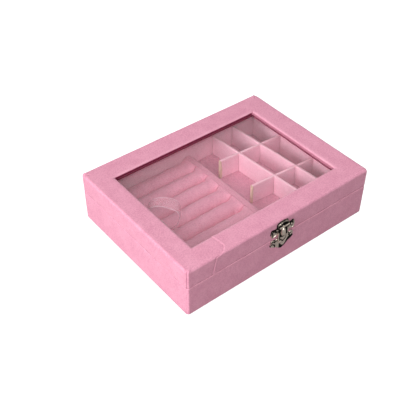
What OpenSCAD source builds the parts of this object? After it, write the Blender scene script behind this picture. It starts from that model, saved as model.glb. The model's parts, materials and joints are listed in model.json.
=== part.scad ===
// Velvet jewelry case with a window lid, a ring tray, a divider grid and a hasp latch.
// X runs along the long side, Y from front to back, Z up. The origin is the middle of the underside.

/* [Case] */
// Width of the case, left to right
case_w = 200; // [180:1:240]
// Depth of the case, front to back, without hinges and latch
case_d = 150; // [138:1:180]
// Height of the closed case
case_h = 50; // [46:0.5:60]
// Height of the base up to its rim
base_h = 31.5; // [31:0.1:33]
// Gap between the rims of base and lid
lid_gap = 0.3; // [0.2:0.05:0.6]
// Thickness of the wall boards
wall_t = 3.5; // [3:0.1:4.5]
// Thickness of the velvet wrap
wrap_t = 0.6; // [0.4:0.05:0.8]
// Outer radius of the upright corners
corner_r = 3; // [2.5:0.1:4]
// Outer radius along the top edge of the lid
top_edge_r = 2.3; // [1.5:0.1:3]
// Outer radius along the bottom edge of the base
bottom_edge_r = 1.5; // [1:0.1:2]
// Outer radius along the two rims
rim_edge_r = 0.8; // [0.7:0.05:1]

/* [Base] */
// Thickness of the panel that the case stands on
panel_t = 0.5; // [0.3:0.1:1]
// Distance of that panel from the outside
panel_inset = 2.5; // [2:0.1:5]
// Width of velvet turned in under the base
turn_in = 12; // [8:0.5:20]
// Thickness of the bottom board
bottom_t = 3; // [2:0.1:4]
// Thickness of the velvet lined inner boards
liner_t = 1.2; // [1:0.05:1.6]
// Thickness of the floor pad
floor_t = 1.8; // [1.2:0.1:2.4]

/* [Lid] */
// Width of the front and left strips of the top frame
strip_w = 20.2; // [16:0.1:26]
// How much wider the back and right strips are
strip_extra = 2; // [0:0.1:3]
// Depth of the pane below the top of the frame
pane_depth = 3; // [2.6:0.1:3.6]
// Thickness of the pane
pane_t = 2; // [1.5:0.1:3]
// Gap between the pane and the lid walls
pane_clear = 0.5; // [0.3:0.1:1]
// Thickness of the strips that hold the pane
retainer_t = 1.6; // [1.2:0.1:2]
// Thickness of the velvet lining inside the lid walls
lining_t = 0.7; // [0.5:0.05:1]
// Angle that the lid opens
lid_open = 100; // [80:1:110]

/* [Ring tray] */
// Number of ring rolls
roll_count = 8; // [7:1:9]
// Height of the ring tray
tray_h = 11.9; // [11:0.1:13]
// Position of the tray's right side, from the middle, as a share of the case's width
tray_share = 0.07; // [0.04:0.0025:0.085]
// Thickness of the tray board
tray_board_t = 2; // [1.5:0.1:2.5]
// Width of the rails at both ends of the rolls
rail_w = 6; // [5:0.5:8]
// Gap between neighbouring rolls
roll_gap = 1.2; // [1.1:0.1:1.6]
// Height of the rounded crown of a roll
crown_h = 4.4; // [3.6:0.1:6]
// Gap between the end of a roll and its rail
roll_end_gap = 0.2; // [0.1:0.05:0.5]
// Gap round a lift-out insert
insert_clear = 0.4; // [0.3:0.05:0.8]
// Gap under a lift-out insert
rest_gap = 0.3; // [0.2:0.05:0.4]
// Travel of the ring tray
tray_lift = 20; // [5:1:20]

/* [Lift loop] */
// Distance of the loop from the left side of the case
loop_from_left = 32.5; // [25:0.5:60]
// Gap between the top of the loop and the pane
loop_gap = 2; // [1.6:0.1:6]
// Half the widest opening of the loop
loop_half = 14; // [10:0.5:17]
// Width of the ribbon
ribbon_w = 11; // [8:0.5:12]
// Thickness of the ribbon
ribbon_t = 0.4; // [0.3:0.05:0.45]
// Twist of the ribbon between its foot and its top
loop_twist = 48; // [30:1:60]
// Sideways lean of the loop at its top
loop_lean = [6, 7]; // [0:0.5:8]

/* [Divider grid] */
// Thickness of the divider boards
divider_t = 2.4; // [2:0.1:3]
// Height of the divider boards
divider_h = 20.6; // [16:0.1:22]
// Place of the left long divider, from the middle, as a share of the case's width
long_left_share = 0.2425; // [0.22:0.0025:0.26]
// Place of the right long divider, from the middle, as a share of the case's width
long_right_share = 0.3675; // [0.35:0.0025:0.38]
// Place of the back cross divider, from the middle, as a share of the case's depth
cross_back_share = 0.2215; // [0.185:0.0005:0.25]
// Place of the front cross divider, from the middle, as a share of the case's depth
cross_front_share = -0.0785; // [-0.105:0.0005:-0.04]
// Place of the cross dividers' free ends, from the middle, as a share of the case's width
cross_left_share = 0.12; // [0.11:0.0025:0.14]
// Lean of the long dividers in plan
long_lean = 4.5; // [0:0.1:5]
// Lean of the cross dividers in plan
cross_lean = 4.3; // [0:0.1:5]
// Clearance of a halving slot, each side
slot_clear = 0.15; // [0.1:0.05:0.3]
// Travel of the divider grid
grid_lift = 14; // [5:1:15]

/* [Hinges] */
// Distance of the middle of each hinge from the end of the case
hinge_in = 40; // [25:1:60]
// Length of a hinge
hinge_w = 22; // [18:1:30]
// Height of one leaf measured from the hinge axis
leaf_h = 10; // [9:0.5:12]
// Thickness of a leaf
leaf_t = 0.8; // [0.6:0.1:1]
// Outer radius of the hinge knuckles
knuckle_r = 1.5; // [1.4:0.1:1.8]
// Radius of the hinge pins
hinge_pin_r = 0.75; // [0.6:0.05:0.9]
// Distance of the hinge axis behind the case
hinge_back = 1.8; // [1.8:0.05:2.2]
// Gap between moving knuckles, end to end
knuckle_gap = 0.3; // [0.2:0.05:0.5]
// Radial clearance of every pin
pin_clear = 0.05; // [0.02:0.01:0.09]

/* [Latch] */
// Position of the latch along the front
latch_x = -1.8; // [-20:0.2:20]
// Thickness of the latch plates
plate_t = 0.8; // [0.6:0.1:1]
// Half the distance between the two nails of a plate
nail_x = 9.8; // [9.4:0.1:10.6]
// Height of the upper plate's nails above the rim of the base
lid_nail_up = 8; // [7.4:0.1:8.6]
// Radius of the upper plate's ears
lid_ear_r = 3.7; // [3:0.1:4]
// Depth of the lower plate's nails below the rim of the base
base_nail_down = 3.4; // [3.3:0.1:4.4]
// Radius of the lower plate's ears
base_ear_r = 3.1; // [2.6:0.1:3.2]
// Depth of the lower plate's point below its nails
shield_len = 10.8; // [9:0.1:12]
// Radius of the upper plate's arch
arch_r = 12.2; // [11.6:0.1:12.6]
// Height of the middle of that arch above the rim of the base
arch_up = 4.4; // [4:0.1:4.8]
// Width of the raised rim of the arch
arch_rim = 2.4; // [1.8:0.1:2.6]
// Height of the raised rim above the plate
arch_rise = 1.1; // [0.8:0.1:1.3]
// Gap between the lower edge of the upper plate and the rim of the lid
upper_plate_up = 2.4; // [1.5:0.1:3.5]
// Height of the hasp pin above the rim of the base
hasp_pin_up = 11.6; // [11.2:0.1:11.9]
// Distance of the hasp pin in front of the case
hasp_pin_out = 2.5; // [2.4:0.1:3]
// Radius of the hasp pin
hasp_pin_r = 0.7; // [0.6:0.05:0.8]
// Outer radius of the hasp barrel and of the lugs
barrel_r = 1.4; // [1.3:0.05:1.5]
// Half the length of the hasp barrel
barrel_half = 3.4; // [3:0.1:3.8]
// Gap between the hasp barrel and a lug
lug_gap = 0.25; // [0.2:0.05:0.4]
// Width of the lugs that hold the pin
lug_w = 1.8; // [1.4:0.1:2]
// Length of the hasp below its pin
hasp_len = 23.4; // [22:0.1:25]
// Length of the hasp's narrow neck below its pin
neck_len = 3.6; // [3.2:0.1:5]
// Length of the shoulders between the neck and the widest width
shoulder_len = 3; // [2:0.1:4]
// Half the widest width of the hasp
hasp_half = 5.8; // [5:0.1:6.6]
// Length of the hasp's pointed end
point_len = 5.8; // [4:0.1:7]
// Thickness of the hasp
hasp_t = 0.9; // [0.7:0.1:1.1]
// Gap between the back of the hasp and the latch plates
hasp_stand = 0.6; // [0.5:0.05:0.9]
// Height of the domed nose of the hasp
nose_out = 1.3; // [1:0.1:1.6]
// Length of the nose below the pin
nose_len = 9; // [6:0.1:10]
// Height of the lip along the hasp's point
lip_out = 2.2; // [1.4:0.1:2.4]
// Thickness of that lip
lip_t = 1; // [0.8:0.1:1.4]
// Half the width of the hasp's pointed slot
slot_half = 3.9; // [3:0.1:4.2]
// Width of that slot along its two legs
slot_open = 1.2; // [0.8:0.1:1.6]
// Rise of the slot from its point to its ends
slot_rise = 2.9; // [2:0.1:3.4]
// Height of the slot's point above the tip of the hasp
slot_up = 6.4; // [5.5:0.1:8]
// Gap between the catch and the back of the hasp
catch_clear = 0.3; // [0.2:0.05:0.4]
// Angle that the hasp swings
hasp_swing = 135; // [90:5:140]

/* [Nails and screws] */
// Radius of the nail and screw shanks
shank_r = 0.6; // [0.5:0.05:0.7]
// Radius of the nail and screw heads
head_r = 1.3; // [1.1:0.05:1.5]
// Height of the domed heads
head_h = 0.6; // [0.4:0.05:0.8]
// Length of the shanks
shank_len = 4.4; // [3.5:0.1:4.6]
// Clearance of a shank in its hole
shank_clear = 0.05; // [0.03:0.01:0.1]

/* [Hidden] */
$fn = 48;

// Room to cut through a wall
cut = 1;

// Case walls, as half sizes from the middle
board_out_x = case_w / 2 - wrap_t;
board_out_y = case_d / 2 - wrap_t;
board_in_x = board_out_x - wall_t;
board_in_y = board_out_y - wall_t;
room_x = board_in_x - liner_t;
room_y = board_in_y - liner_t;
board_z = panel_t + wrap_t;
floor_pad_z = board_z + bottom_t;
floor_z = floor_pad_z + floor_t;

// Lid levels, and the two opposite corners of the window
lid_z = base_h + lid_gap;
pane_top_z = case_h - pane_depth;
pane_z = pane_top_z - pane_t;
retainer_z = pane_z - retainer_t;
win_low = [-case_w / 2 + strip_w, -case_d / 2 + strip_w];
win_high = [case_w / 2 - strip_w - strip_extra, case_d / 2 - strip_w - strip_extra];

// Ring tray
tray_right_x = case_w * tray_share;
insert_z = floor_z + rest_gap;
insert_x = room_x - insert_clear;
insert_y = room_y - insert_clear;
tray_top_z = insert_z + tray_h;
roll_z = insert_z + tray_board_t;
roll_pitch = 2 * insert_y / roll_count;
roll_w = roll_pitch - roll_gap;
roll_x0 = -insert_x + rail_w + roll_end_gap;
roll_x1 = tray_right_x - rail_w - roll_end_gap;

// Hinge places and axis
hinge_x = case_w / 2 - hinge_in;
axis_y = case_d / 2 + hinge_back;
axis_z = base_h + lid_gap / 2;

// Latch levels, with Y as a distance in front of the case
front_y = -case_d / 2;
hasp_pin_z = base_h + hasp_pin_up;
hasp_back = plate_t + hasp_stand;
hasp_front = hasp_back + hasp_t;
lid_nail_z = base_h + lid_nail_up;
base_nail_z = base_h - base_nail_down;

function smooth(t) = let (u = max(0, min(1, t))) u * u * (3 - 2 * u);

// A rectangle with round corners
module round_rect(w, d, r) {
  square([w - 2 * r, d], center = true);
  square([w, d - 2 * r], center = true);
  for (sx = [-1, 1], sy = [-1, 1])
    translate([sx * (w / 2 - r), sy * (d / 2 - r)]) circle(r = r);
}

// The side view of a block whose upper and lower edges are round
module side_outline(w, z0, z1, r_low, r_high) {
  translate([-w / 2, z0 + r_low]) square([w, z1 - z0 - r_low - r_high]);
  translate([-w / 2 + r_high, z0 + r_low]) square([w - 2 * r_high, z1 - z0 - r_low]);
  translate([-w / 2 + r_low, z0]) square([w - 2 * r_low, z1 - z0 - r_high]);
  for (s = [-1, 1]) {
    translate([s * (w / 2 - r_low), z0 + r_low]) circle(r = r_low);
    translate([s * (w / 2 - r_high), z1 - r_high]) circle(r = r_high);
  }
}

// A block with round upright corners and round upper and lower edges
module soft_block(w, d, z0, z1, r_corner, r_low, r_high) {
  intersection() {
    translate([0, 0, z0]) linear_extrude(height = z1 - z0) round_rect(w, d, r_corner);
    translate([0, d, 0]) rotate([90, 0, 0])
      linear_extrude(height = 2 * d) side_outline(w, z0, z1, r_low, r_high);
    translate([-w, 0, 0]) rotate([90, 0, 90])
      linear_extrude(height = 2 * w) side_outline(d, z0, z1, r_low, r_high);
  }
}

// The base as a solid block, inset by a skin thickness
module base_block(inset) {
  soft_block(case_w - 2 * inset, case_d - 2 * inset, panel_t + inset, base_h - inset,
             corner_r - inset, bottom_edge_r - inset, rim_edge_r - inset);
}

// The lid as a solid block, inset by a skin thickness
module lid_block(inset) {
  soft_block(case_w - 2 * inset, case_d - 2 * inset, lid_z + inset, case_h - inset,
             corner_r - inset, rim_edge_r - inset, top_edge_r - inset);
}

// A box between two corners
module span(low, high) {
  translate(low) cube(high - low);
}

// A box inside the case's outline
module inset_box(inset, z0, z1) {
  span([-case_w / 2 + inset, -case_d / 2 + inset, z0], [case_w / 2 - inset, case_d / 2 - inset, z1]);
}

// The part of a wall ring on one side: 0 front, 1 back, 2 left, 3 right
module wall_side(side, z0, z1) {
  big_x = case_w / 2;
  big_y = case_d / 2;
  if (side == 0) span([-big_x, -big_y, z0], [big_x, -board_in_y, z1]);
  if (side == 1) span([-big_x, board_in_y, z0], [big_x, big_y, z1]);
  if (side == 2) span([-big_x, -board_in_y, z0], [-board_in_x, board_in_y, z1]);
  if (side == 3) span([board_in_x, -board_in_y, z0], [big_x, board_in_y, z1]);
}

// A mitred strip of a frame between an inner and an outer rectangle, side as above
module frame_strip(side, in_low, in_high, out_low, out_high, z0, z1) {
  inner = [in_low, [in_high[0], in_low[1]], in_high, [in_low[0], in_high[1]]];
  outer = [out_low, [out_high[0], out_low[1]], out_high, [out_low[0], out_high[1]]];
  first = [0, 2, 3, 1][side];
  next = (first + 1) % 4;
  translate([0, 0, z0]) linear_extrude(height = z1 - z0)
    polygon([outer[first], outer[next], inner[next], inner[first]]);
}

// Holes for the latch nails through the front, and for the hinge screws through the back
hole_r = shank_r + shank_clear;
hole_len = 2 * (wrap_t + wall_t + cut);
screw_x = hinge_w / 4;
screw_share = 0.68;
screw_up = leaf_h * screw_share;
module latch_nail_holes(z) {
  for (s = [-1, 1]) translate([latch_x + s * nail_x, front_y, z])
    rotate([90, 0, 0]) cylinder(r = hole_r, h = hole_len, center = true);
}

module hinge_screw_holes(up) {
  for (sh = [-1, 1], s = [-1, 1])
    translate([sh * hinge_x + s * screw_x, case_d / 2, axis_z + up * screw_up])
      rotate([90, 0, 0]) cylinder(r = hole_r, h = hole_len, center = true);
}

// Base boards
module base_board(side) {
  color("burlywood") difference() {
    intersection() {
      base_block(wrap_t);
      wall_side(side, 0, base_h);
    }
    if (side == 0) latch_nail_holes(base_nail_z);
    if (side == 1) hinge_screw_holes(-1);
  }
}
module base_front_board() { base_board(0); }
module base_back_board() { base_board(1); }
module base_left_board() { base_board(2); }
module base_right_board() { base_board(3); }

module base_bottom_board() {
  color("burlywood")
    span([-board_in_x, -board_in_y, board_z], [board_in_x, board_in_y, floor_pad_z]);
}

// Velvet round the base: outside, over the rim and turned in underneath
module base_velvet_wrap() {
  color("lightpink") difference() {
    base_block(0);
    base_block(wrap_t);
    span([-board_in_x, -board_in_y, base_h / 2], [board_in_x, board_in_y, base_h + cut]);
    inset_box(turn_in, 0, base_h / 2);
    latch_nail_holes(base_nail_z);
    hinge_screw_holes(-1);
  }
}

module bottom_panel() {
  color("rosybrown") inset_box(panel_inset, 0, panel_t);
}

// Velvet lined inner boards
module liner(side) {
  color("pink")
    if (side == 0) span([-board_in_x, -board_in_y, floor_pad_z], [board_in_x, -room_y, base_h]);
    else if (side == 1) span([-board_in_x, room_y, floor_pad_z], [board_in_x, board_in_y, base_h]);
    else if (side == 2) span([-board_in_x, -room_y, floor_pad_z], [-room_x, room_y, base_h]);
    else span([room_x, -room_y, floor_pad_z], [board_in_x, room_y, base_h]);
}
module liner_front() { liner(0); }
module liner_back() { liner(1); }
module liner_left() { liner(2); }
module liner_right() { liner(3); }

module floor_pad() {
  color("pink") span([-room_x, -room_y, floor_pad_z], [room_x, room_y, floor_z]);
}

// Lid boards
module lid_board(side) {
  color("burlywood") difference() {
    intersection() {
      lid_block(wrap_t);
      wall_side(side, lid_z, pane_top_z);
    }
    if (side == 0) latch_nail_holes(lid_nail_z);
    if (side == 1) hinge_screw_holes(1);
  }
}
module lid_front_board() { lid_board(0); }
module lid_back_board() { lid_board(1); }
module lid_left_board() { lid_board(2); }
module lid_right_board() { lid_board(3); }

// Top strips of the lid, mitred round the window
wrap = [wrap_t, wrap_t];
outside = [case_w, case_d] / 2;
module lid_top(side) {
  color("burlywood") intersection() {
    lid_block(wrap_t);
    frame_strip(side, win_low - wrap, win_high + wrap, -outside, outside, pane_top_z, case_h);
  }
}
module lid_top_front() { lid_top(0); }
module lid_top_back() { lid_top(1); }
module lid_top_left() { lid_top(2); }
module lid_top_right() { lid_top(3); }

// Velvet round the lid: outside, over the rim and down into the window
module lid_velvet_wrap() {
  color("lightpink") difference() {
    lid_block(0);
    difference() {
      lid_block(wrap_t);
      span([each win_low - wrap, pane_top_z], [each win_high + wrap, case_h]);
    }
    span([each win_low, pane_top_z - cut], [each win_high, case_h + cut]);
    span([-board_in_x, -board_in_y, lid_z - cut], [board_in_x, board_in_y, pane_top_z]);
    latch_nail_holes(lid_nail_z);
    hinge_screw_holes(1);
  }
}

// Velvet lining inside the lid walls
module lid_lining() {
  color("pink") difference() {
    span([-board_in_x, -board_in_y, lid_z], [board_in_x, board_in_y, retainer_z]);
    span([-board_in_x + lining_t, -board_in_y + lining_t, lid_z - cut],
         [board_in_x - lining_t, board_in_y - lining_t, retainer_z + cut]);
  }
}

module glass_pane() {
  color("aliceblue", 0.35)
    span([-board_in_x + pane_clear, -board_in_y + pane_clear, pane_z],
         [board_in_x - pane_clear, board_in_y - pane_clear, pane_top_z]);
}

// Strips that hold the pane from below
module retainer(side) {
  color("pink") frame_strip(side, win_low, win_high, [-board_in_x, -board_in_y], [board_in_x, board_in_y],
                            retainer_z, pane_z);
}
module retainer_front() { retainer(0); }
module retainer_back() { retainer(1); }
module retainer_left() { retainer(2); }
module retainer_right() { retainer(3); }

// Ring tray
module tray_board() {
  color("pink") span([-insert_x, -insert_y, insert_z], [tray_right_x, insert_y, roll_z]);
}

rail_r = rail_w / 3;
module tray_rail(x0) {
  color("pink") translate([x0 + rail_w / 2, insert_y, 0]) rotate([90, 0, 0])
    linear_extrude(height = 2 * insert_y) {
      translate([-rail_w / 2, roll_z]) square([rail_w, tray_h - tray_board_t - rail_r]);
      translate([-rail_w / 2 + rail_r, roll_z]) square([rail_w - 2 * rail_r, tray_h - tray_board_t]);
      for (s = [-1, 1]) translate([s * (rail_w / 2 - rail_r), tray_top_z - rail_r]) circle(r = rail_r);
    }
}
module tray_left_rail() { tray_rail(-insert_x); }
module tray_right_rail() { tray_rail(tray_right_x - rail_w); }

// A closed skin over rings of points, each ring with the same count
module skin(rings) {
  n = len(rings);
  m = len(rings[0]);
  polyhedron(
    points = [for (ring = rings) each ring],
    faces = [
      [for (j = [0 : m - 1]) j],
      [for (j = [0 : m - 1]) n * m - 1 - j],
      for (i = [0 : n - 2], j = [0 : m - 1]) let (k = (j + 1) % m)
        each [[i * m + j, (i + 1) * m + j, (i + 1) * m + k], [i * m + j, (i + 1) * m + k, i * m + k]]
    ],
    convexity = 4);
}

// One ring of a roll: flat below, straight sides, an elliptic crown, all drawn in near the ends.
// The shares tell how much of the half width and of the crown is left at the very end.
roll_steps = 18;
crown_steps = 12;
end_half_share = 0.93;
end_rise_share = 0.5;
end_power = 20;
function roll_end(u) = pow(1 - pow(abs(2 * u - 1), end_power), 1 / 3);
function roll_ring(u, y) = let (
    e = roll_end(u),
    half = roll_w / 2 * (end_half_share + (1 - end_half_share) * e),
    side_h = tray_h - tray_board_t - crown_h,
    rise = crown_h * (end_rise_share + (1 - end_rise_share) * e),
    x = roll_x0 + (roll_x1 - roll_x0) * u)
  [for (j = [0 : crown_steps]) let (a = 180 * j / crown_steps)
     [x, y + half * cos(a), roll_z + side_h + rise * sin(a)],
   [x, y - half, roll_z], [x, y + half, roll_z]];
module ring_roll(i) {
  y = -insert_y + (i - 0.5) * roll_pitch;
  color("pink") skin([for (k = [0 : roll_steps]) roll_ring((1 - cos(180 * k / roll_steps)) / 2, y)]);
}
module ring_roll_1() { ring_roll(1); }
module ring_roll_2() { ring_roll(2); }
module ring_roll_3() { ring_roll(3); }
module ring_roll_4() { ring_roll(4); }
module ring_roll_5() { ring_roll(5); }
module ring_roll_6() { ring_roll(6); }
module ring_roll_7() { ring_roll(7); }
module ring_roll_8() { ring_roll(8); }

// Lift loop: a ribbon that leaves the middle slot, twists, opens into a drop and comes back.
// The shares tell how much of the crown is above the slot, how much of the slot the ribbon is straight in,
// over how much of the loop it twists, and how high the curve of the drop peaks.
loop_steps = 40;
crown_share = 0.4;
straight_share = 0.85;
twist_share = 0.4;
drop_peak_share = 0.77;
lean_start_share = 0.13;
foot_gap = 0.1;
loop_z = roll_z + foot_gap;
loop_h = pane_z - loop_gap - loop_z;
loop_x = -case_w / 2 + loop_from_left;
loop_y = 0;
slot_h = tray_h - tray_board_t - crown_h * crown_share;
straight_h = slot_h * straight_share;
function loop_turn(z) = loop_twist * smooth((z - loop_z - slot_h) / (loop_h * twist_share));
function drop_out(t) = sin(t) * sin(t / 2) / drop_peak_share;
function loop_mid(t) = let (
    up = (1 - cos(t)) / 2,
    free = smooth((up - lean_start_share) / (1 - lean_start_share)),
    z = loop_z + straight_h + (loop_h - straight_h) * up,
    a = loop_turn(z),
    out = loop_half * drop_out(t) * smooth(up * 3) + (ribbon_t / 2 + foot_gap) * sign(180 - t) * (1 - free))
  [loop_x + loop_lean[0] * free + out * sin(a), loop_y + loop_lean[1] * free - out * cos(a), z];
function loop_path() = concat(
  [[loop_x, -ribbon_t / 2 - foot_gap, loop_z]],
  [for (k = [0 : loop_steps]) loop_mid(360 * k / loop_steps)],
  [[loop_x, ribbon_t / 2 + foot_gap, loop_z]]);
module lift_loop() {
  path = loop_path();
  last = len(path) - 1;
  color("hotpink") skin([for (k = [0 : last]) let (
      p = path[k],
      ahead = path[min(k + 1, last)] - path[max(k - 1, 0)],
      a = loop_turn(p[2]),
      wide = [cos(a), sin(a), 0],
      thick = cross(wide, ahead / norm(ahead)),
      n = thick / norm(thick) * ribbon_t / 2,
      w = wide * ribbon_w / 2)
    [p + w + n, p - w + n, p - w - n, p + w - n]]);
}

// Divider boards, each cut halfway where another crosses
long_left_x = case_w * long_left_share;
long_right_x = case_w * long_right_share;
cross_left_x = case_w * cross_left_share;
cross_back_y = case_d * cross_back_share;
cross_front_y = case_d * cross_front_share;
mid_z = insert_z + divider_h / 2;
slot_h_cut = divider_h / 2 + slot_clear + cut;
cross_angle = long_lean + cross_lean;
slot_w = divider_t / cos(cross_angle) + divider_t * tan(cross_angle) + 2 * slot_clear;
long_len = 2 * insert_y / cos(long_lean) - 2 * divider_t * tan(long_lean);
cross_right_x = insert_x - divider_t * sin(cross_lean);
cross_mid_x = (cross_left_x + cross_right_x) / 2;
// Where a long divider and a cross divider meet
function meet(x, y) = let (
    k = tan(long_lean) * tan(cross_lean),
    px = (x - y * tan(long_lean) - cross_mid_x * k) / (1 - k))
  [px, y - (px - cross_mid_x) * tan(cross_lean)];

module long_divider(x) {
  color("pink") difference() {
    translate([x, 0, insert_z]) rotate([0, 0, long_lean])
      translate([-divider_t / 2, -long_len / 2, 0]) cube([divider_t, long_len, divider_h]);
    for (y = [cross_back_y, cross_front_y]) let (p = meet(x, y))
      translate([p[0], p[1], insert_z - cut]) rotate([0, 0, long_lean])
        translate([-divider_t, -slot_w / 2, 0]) cube([2 * divider_t, slot_w, slot_h_cut]);
  }
}
module long_divider_left() { long_divider(long_left_x); }
module long_divider_right() { long_divider(long_right_x); }

module cross_divider(y) {
  cross_len = (cross_right_x - cross_left_x) / cos(cross_lean);
  color("pink") difference() {
    translate([cross_mid_x, y, insert_z]) rotate([0, 0, -cross_lean])
      translate([-cross_len / 2, -divider_t / 2, 0]) cube([cross_len, divider_t, divider_h]);
    for (x = [long_left_x, long_right_x]) let (p = meet(x, y))
      translate([p[0], p[1], mid_z - slot_clear]) rotate([0, 0, -cross_lean])
        translate([-slot_w / 2, -divider_t, 0]) cube([slot_w, 2 * divider_t, slot_h_cut]);
  }
}
module cross_divider_back() { cross_divider(cross_back_y); }
module cross_divider_front() { cross_divider(cross_front_y); }

// Back hinges: the base leaf has the two end knuckles, the lid leaf the middle one
mid_knuckle = hinge_w / 2;
end_knuckle = (hinge_w - mid_knuckle) / 2 - knuckle_gap;
knuckle_room = knuckle_r + knuckle_gap;

module knuckle(x, length) {
  translate([x, axis_y, axis_z]) rotate([0, 90, 0]) cylinder(r = knuckle_r, h = length);
}

module leaf_plate(up, x0, x1, near, far) {
  low = up > 0 ? axis_z + near : axis_z - far;
  high = up > 0 ? axis_z + far : axis_z - near;
  span([x0, case_d / 2, low], [x1, case_d / 2 + leaf_t, high]);
}

module pin_hole(x) {
  translate([x, axis_y, axis_z]) rotate([0, 90, 0])
    cylinder(r = hinge_pin_r + pin_clear, h = hinge_w + 2 * cut, center = true);
}

module leaf_screw_holes(x, up) {
  for (s = [-1, 1]) translate([x + s * screw_x, case_d / 2 + leaf_t / 2, axis_z + up * screw_up])
    rotate([90, 0, 0]) cylinder(r = hole_r, h = leaf_t + 2 * cut, center = true);
}

module base_leaf(x) {
  color("silver") difference() {
    union() {
      leaf_plate(-1, x - hinge_w / 2, x + hinge_w / 2, knuckle_room, leaf_h);
      for (s = [-1, 1]) let (x0 = s < 0 ? x - hinge_w / 2 : x + hinge_w / 2 - end_knuckle) {
        leaf_plate(-1, x0, x0 + end_knuckle, 0, leaf_h);
        knuckle(x0, end_knuckle);
      }
    }
    pin_hole(x);
    leaf_screw_holes(x, -1);
  }
}

module lid_leaf(x) {
  color("silver") difference() {
    union() {
      leaf_plate(1, x - hinge_w / 2, x + hinge_w / 2, knuckle_room, leaf_h);
      leaf_plate(1, x - mid_knuckle / 2, x + mid_knuckle / 2, 0, leaf_h);
      knuckle(x - mid_knuckle / 2, mid_knuckle);
    }
    pin_hole(x);
    leaf_screw_holes(x, 1);
  }
}

module hinge_pin(x) {
  color("dimgray") translate([x, axis_y, axis_z]) rotate([0, 90, 0])
    cylinder(r = hinge_pin_r, h = hinge_w, center = true);
}
module hinge_left_base_leaf() { base_leaf(-hinge_x); }
module hinge_left_lid_leaf() { lid_leaf(-hinge_x); }
module hinge_left_pin() { hinge_pin(-hinge_x); }
module hinge_right_base_leaf() { base_leaf(hinge_x); }
module hinge_right_lid_leaf() { lid_leaf(hinge_x); }
module hinge_right_pin() { hinge_pin(hinge_x); }

// A nail or screw with a domed head; its shank points along +Z from the plate face at 0
module nail() {
  dome_r = (head_r * head_r + head_h * head_h) / (2 * head_h);
  cylinder(r = shank_r, h = shank_len);
  intersection() {
    translate([0, 0, dome_r - head_h]) sphere(r = dome_r);
    translate([0, 0, -head_h]) cylinder(r = head_r, h = head_h);
  }
}

module hinge_screws(up) {
  color("silver") for (sh = [-1, 1], s = [-1, 1])
    translate([sh * hinge_x + s * screw_x, case_d / 2 + leaf_t, axis_z + up * screw_up])
      rotate([90, 0, 0]) nail();
}
module hinge_screws_base() { hinge_screws(-1); }
module hinge_screws_lid() { hinge_screws(1); }

module latch_nails(z) {
  color("dimgray") for (s = [-1, 1])
    translate([latch_x + s * nail_x, front_y - plate_t, z]) rotate([-90, 0, 0]) nail();
}
module latch_nails_lid() { latch_nails(lid_nail_z); }
module latch_nails_base() { latch_nails(base_nail_z); }

// Stands a flat outline on the front, from one distance in front of the case to another
module on_front(out0, out1) {
  translate([latch_x, front_y - out0, 0]) rotate([90, 0, 0])
    linear_extrude(height = out1 - out0) children();
}

module nail_ears(z, r) {
  for (s = [-1, 1]) translate([s * nail_x, z]) circle(r = r);
}

module nail_holes_2d(z) {
  for (s = [-1, 1]) translate([s * nail_x, z]) circle(r = hole_r);
}

module hasp_pin_hole() {
  translate([latch_x, front_y - hasp_pin_out, hasp_pin_z]) rotate([0, 90, 0])
    cylinder(r = hasp_pin_r + pin_clear, h = case_w / 4, center = true);
}

// Upper plate: two ears, an arch with a raised rim, and two lugs that hold the pin
arch_z = base_h + arch_up;
upper_low_z = lid_z + upper_plate_up;
rim_low_z = lid_nail_z + head_r + shank_r;
module arch(r, low_z) {
  intersection() {
    translate([0, arch_z]) circle(r = r);
    translate([-arch_r, low_z]) square([2 * arch_r, arch_r]);
  }
}
module latch_upper_plate() {
  color("dimgray") difference() {
    union() {
      on_front(0, plate_t) {
        nail_ears(lid_nail_z, lid_ear_r);
        arch(arch_r, lid_nail_z);
        translate([-nail_x, upper_low_z]) square([2 * nail_x, lid_nail_z - upper_low_z]);
      }
      on_front(plate_t, plate_t + arch_rise) difference() {
        arch(arch_r, rim_low_z);
        translate([0, arch_z]) circle(r = arch_r - arch_rim);
      }
      for (s = [-1, 1]) let (x0 = s < 0 ? -barrel_half - lug_gap - lug_w : barrel_half + lug_gap)
        translate([latch_x + x0, front_y, hasp_pin_z]) {
          translate([0, -hasp_pin_out, -barrel_r]) cube([lug_w, hasp_pin_out, 2 * barrel_r]);
          translate([0, -hasp_pin_out, 0]) rotate([0, 90, 0]) cylinder(r = barrel_r, h = lug_w);
        }
    }
    on_front(-cut, plate_t + cut) nail_holes_2d(lid_nail_z);
    hasp_pin_hole();
  }
}

module hasp_pin() {
  color("dimgray") translate([latch_x, front_y - hasp_pin_out, hasp_pin_z]) rotate([0, 90, 0])
    cylinder(r = hasp_pin_r, h = 2 * (barrel_half + lug_gap + lug_w), center = true);
}

// Hasp: a barrel on the pin, a domed nose, shoulders, a pointed slot and a pointed lip
hasp_tip_z = hasp_pin_z - hasp_len;
neck_z = hasp_pin_z - neck_len;
wide_z = neck_z - shoulder_len;
point_z = hasp_tip_z + point_len;
slot_z = hasp_tip_z + slot_up;
nose_low_z = hasp_pin_z - nose_len;
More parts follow.
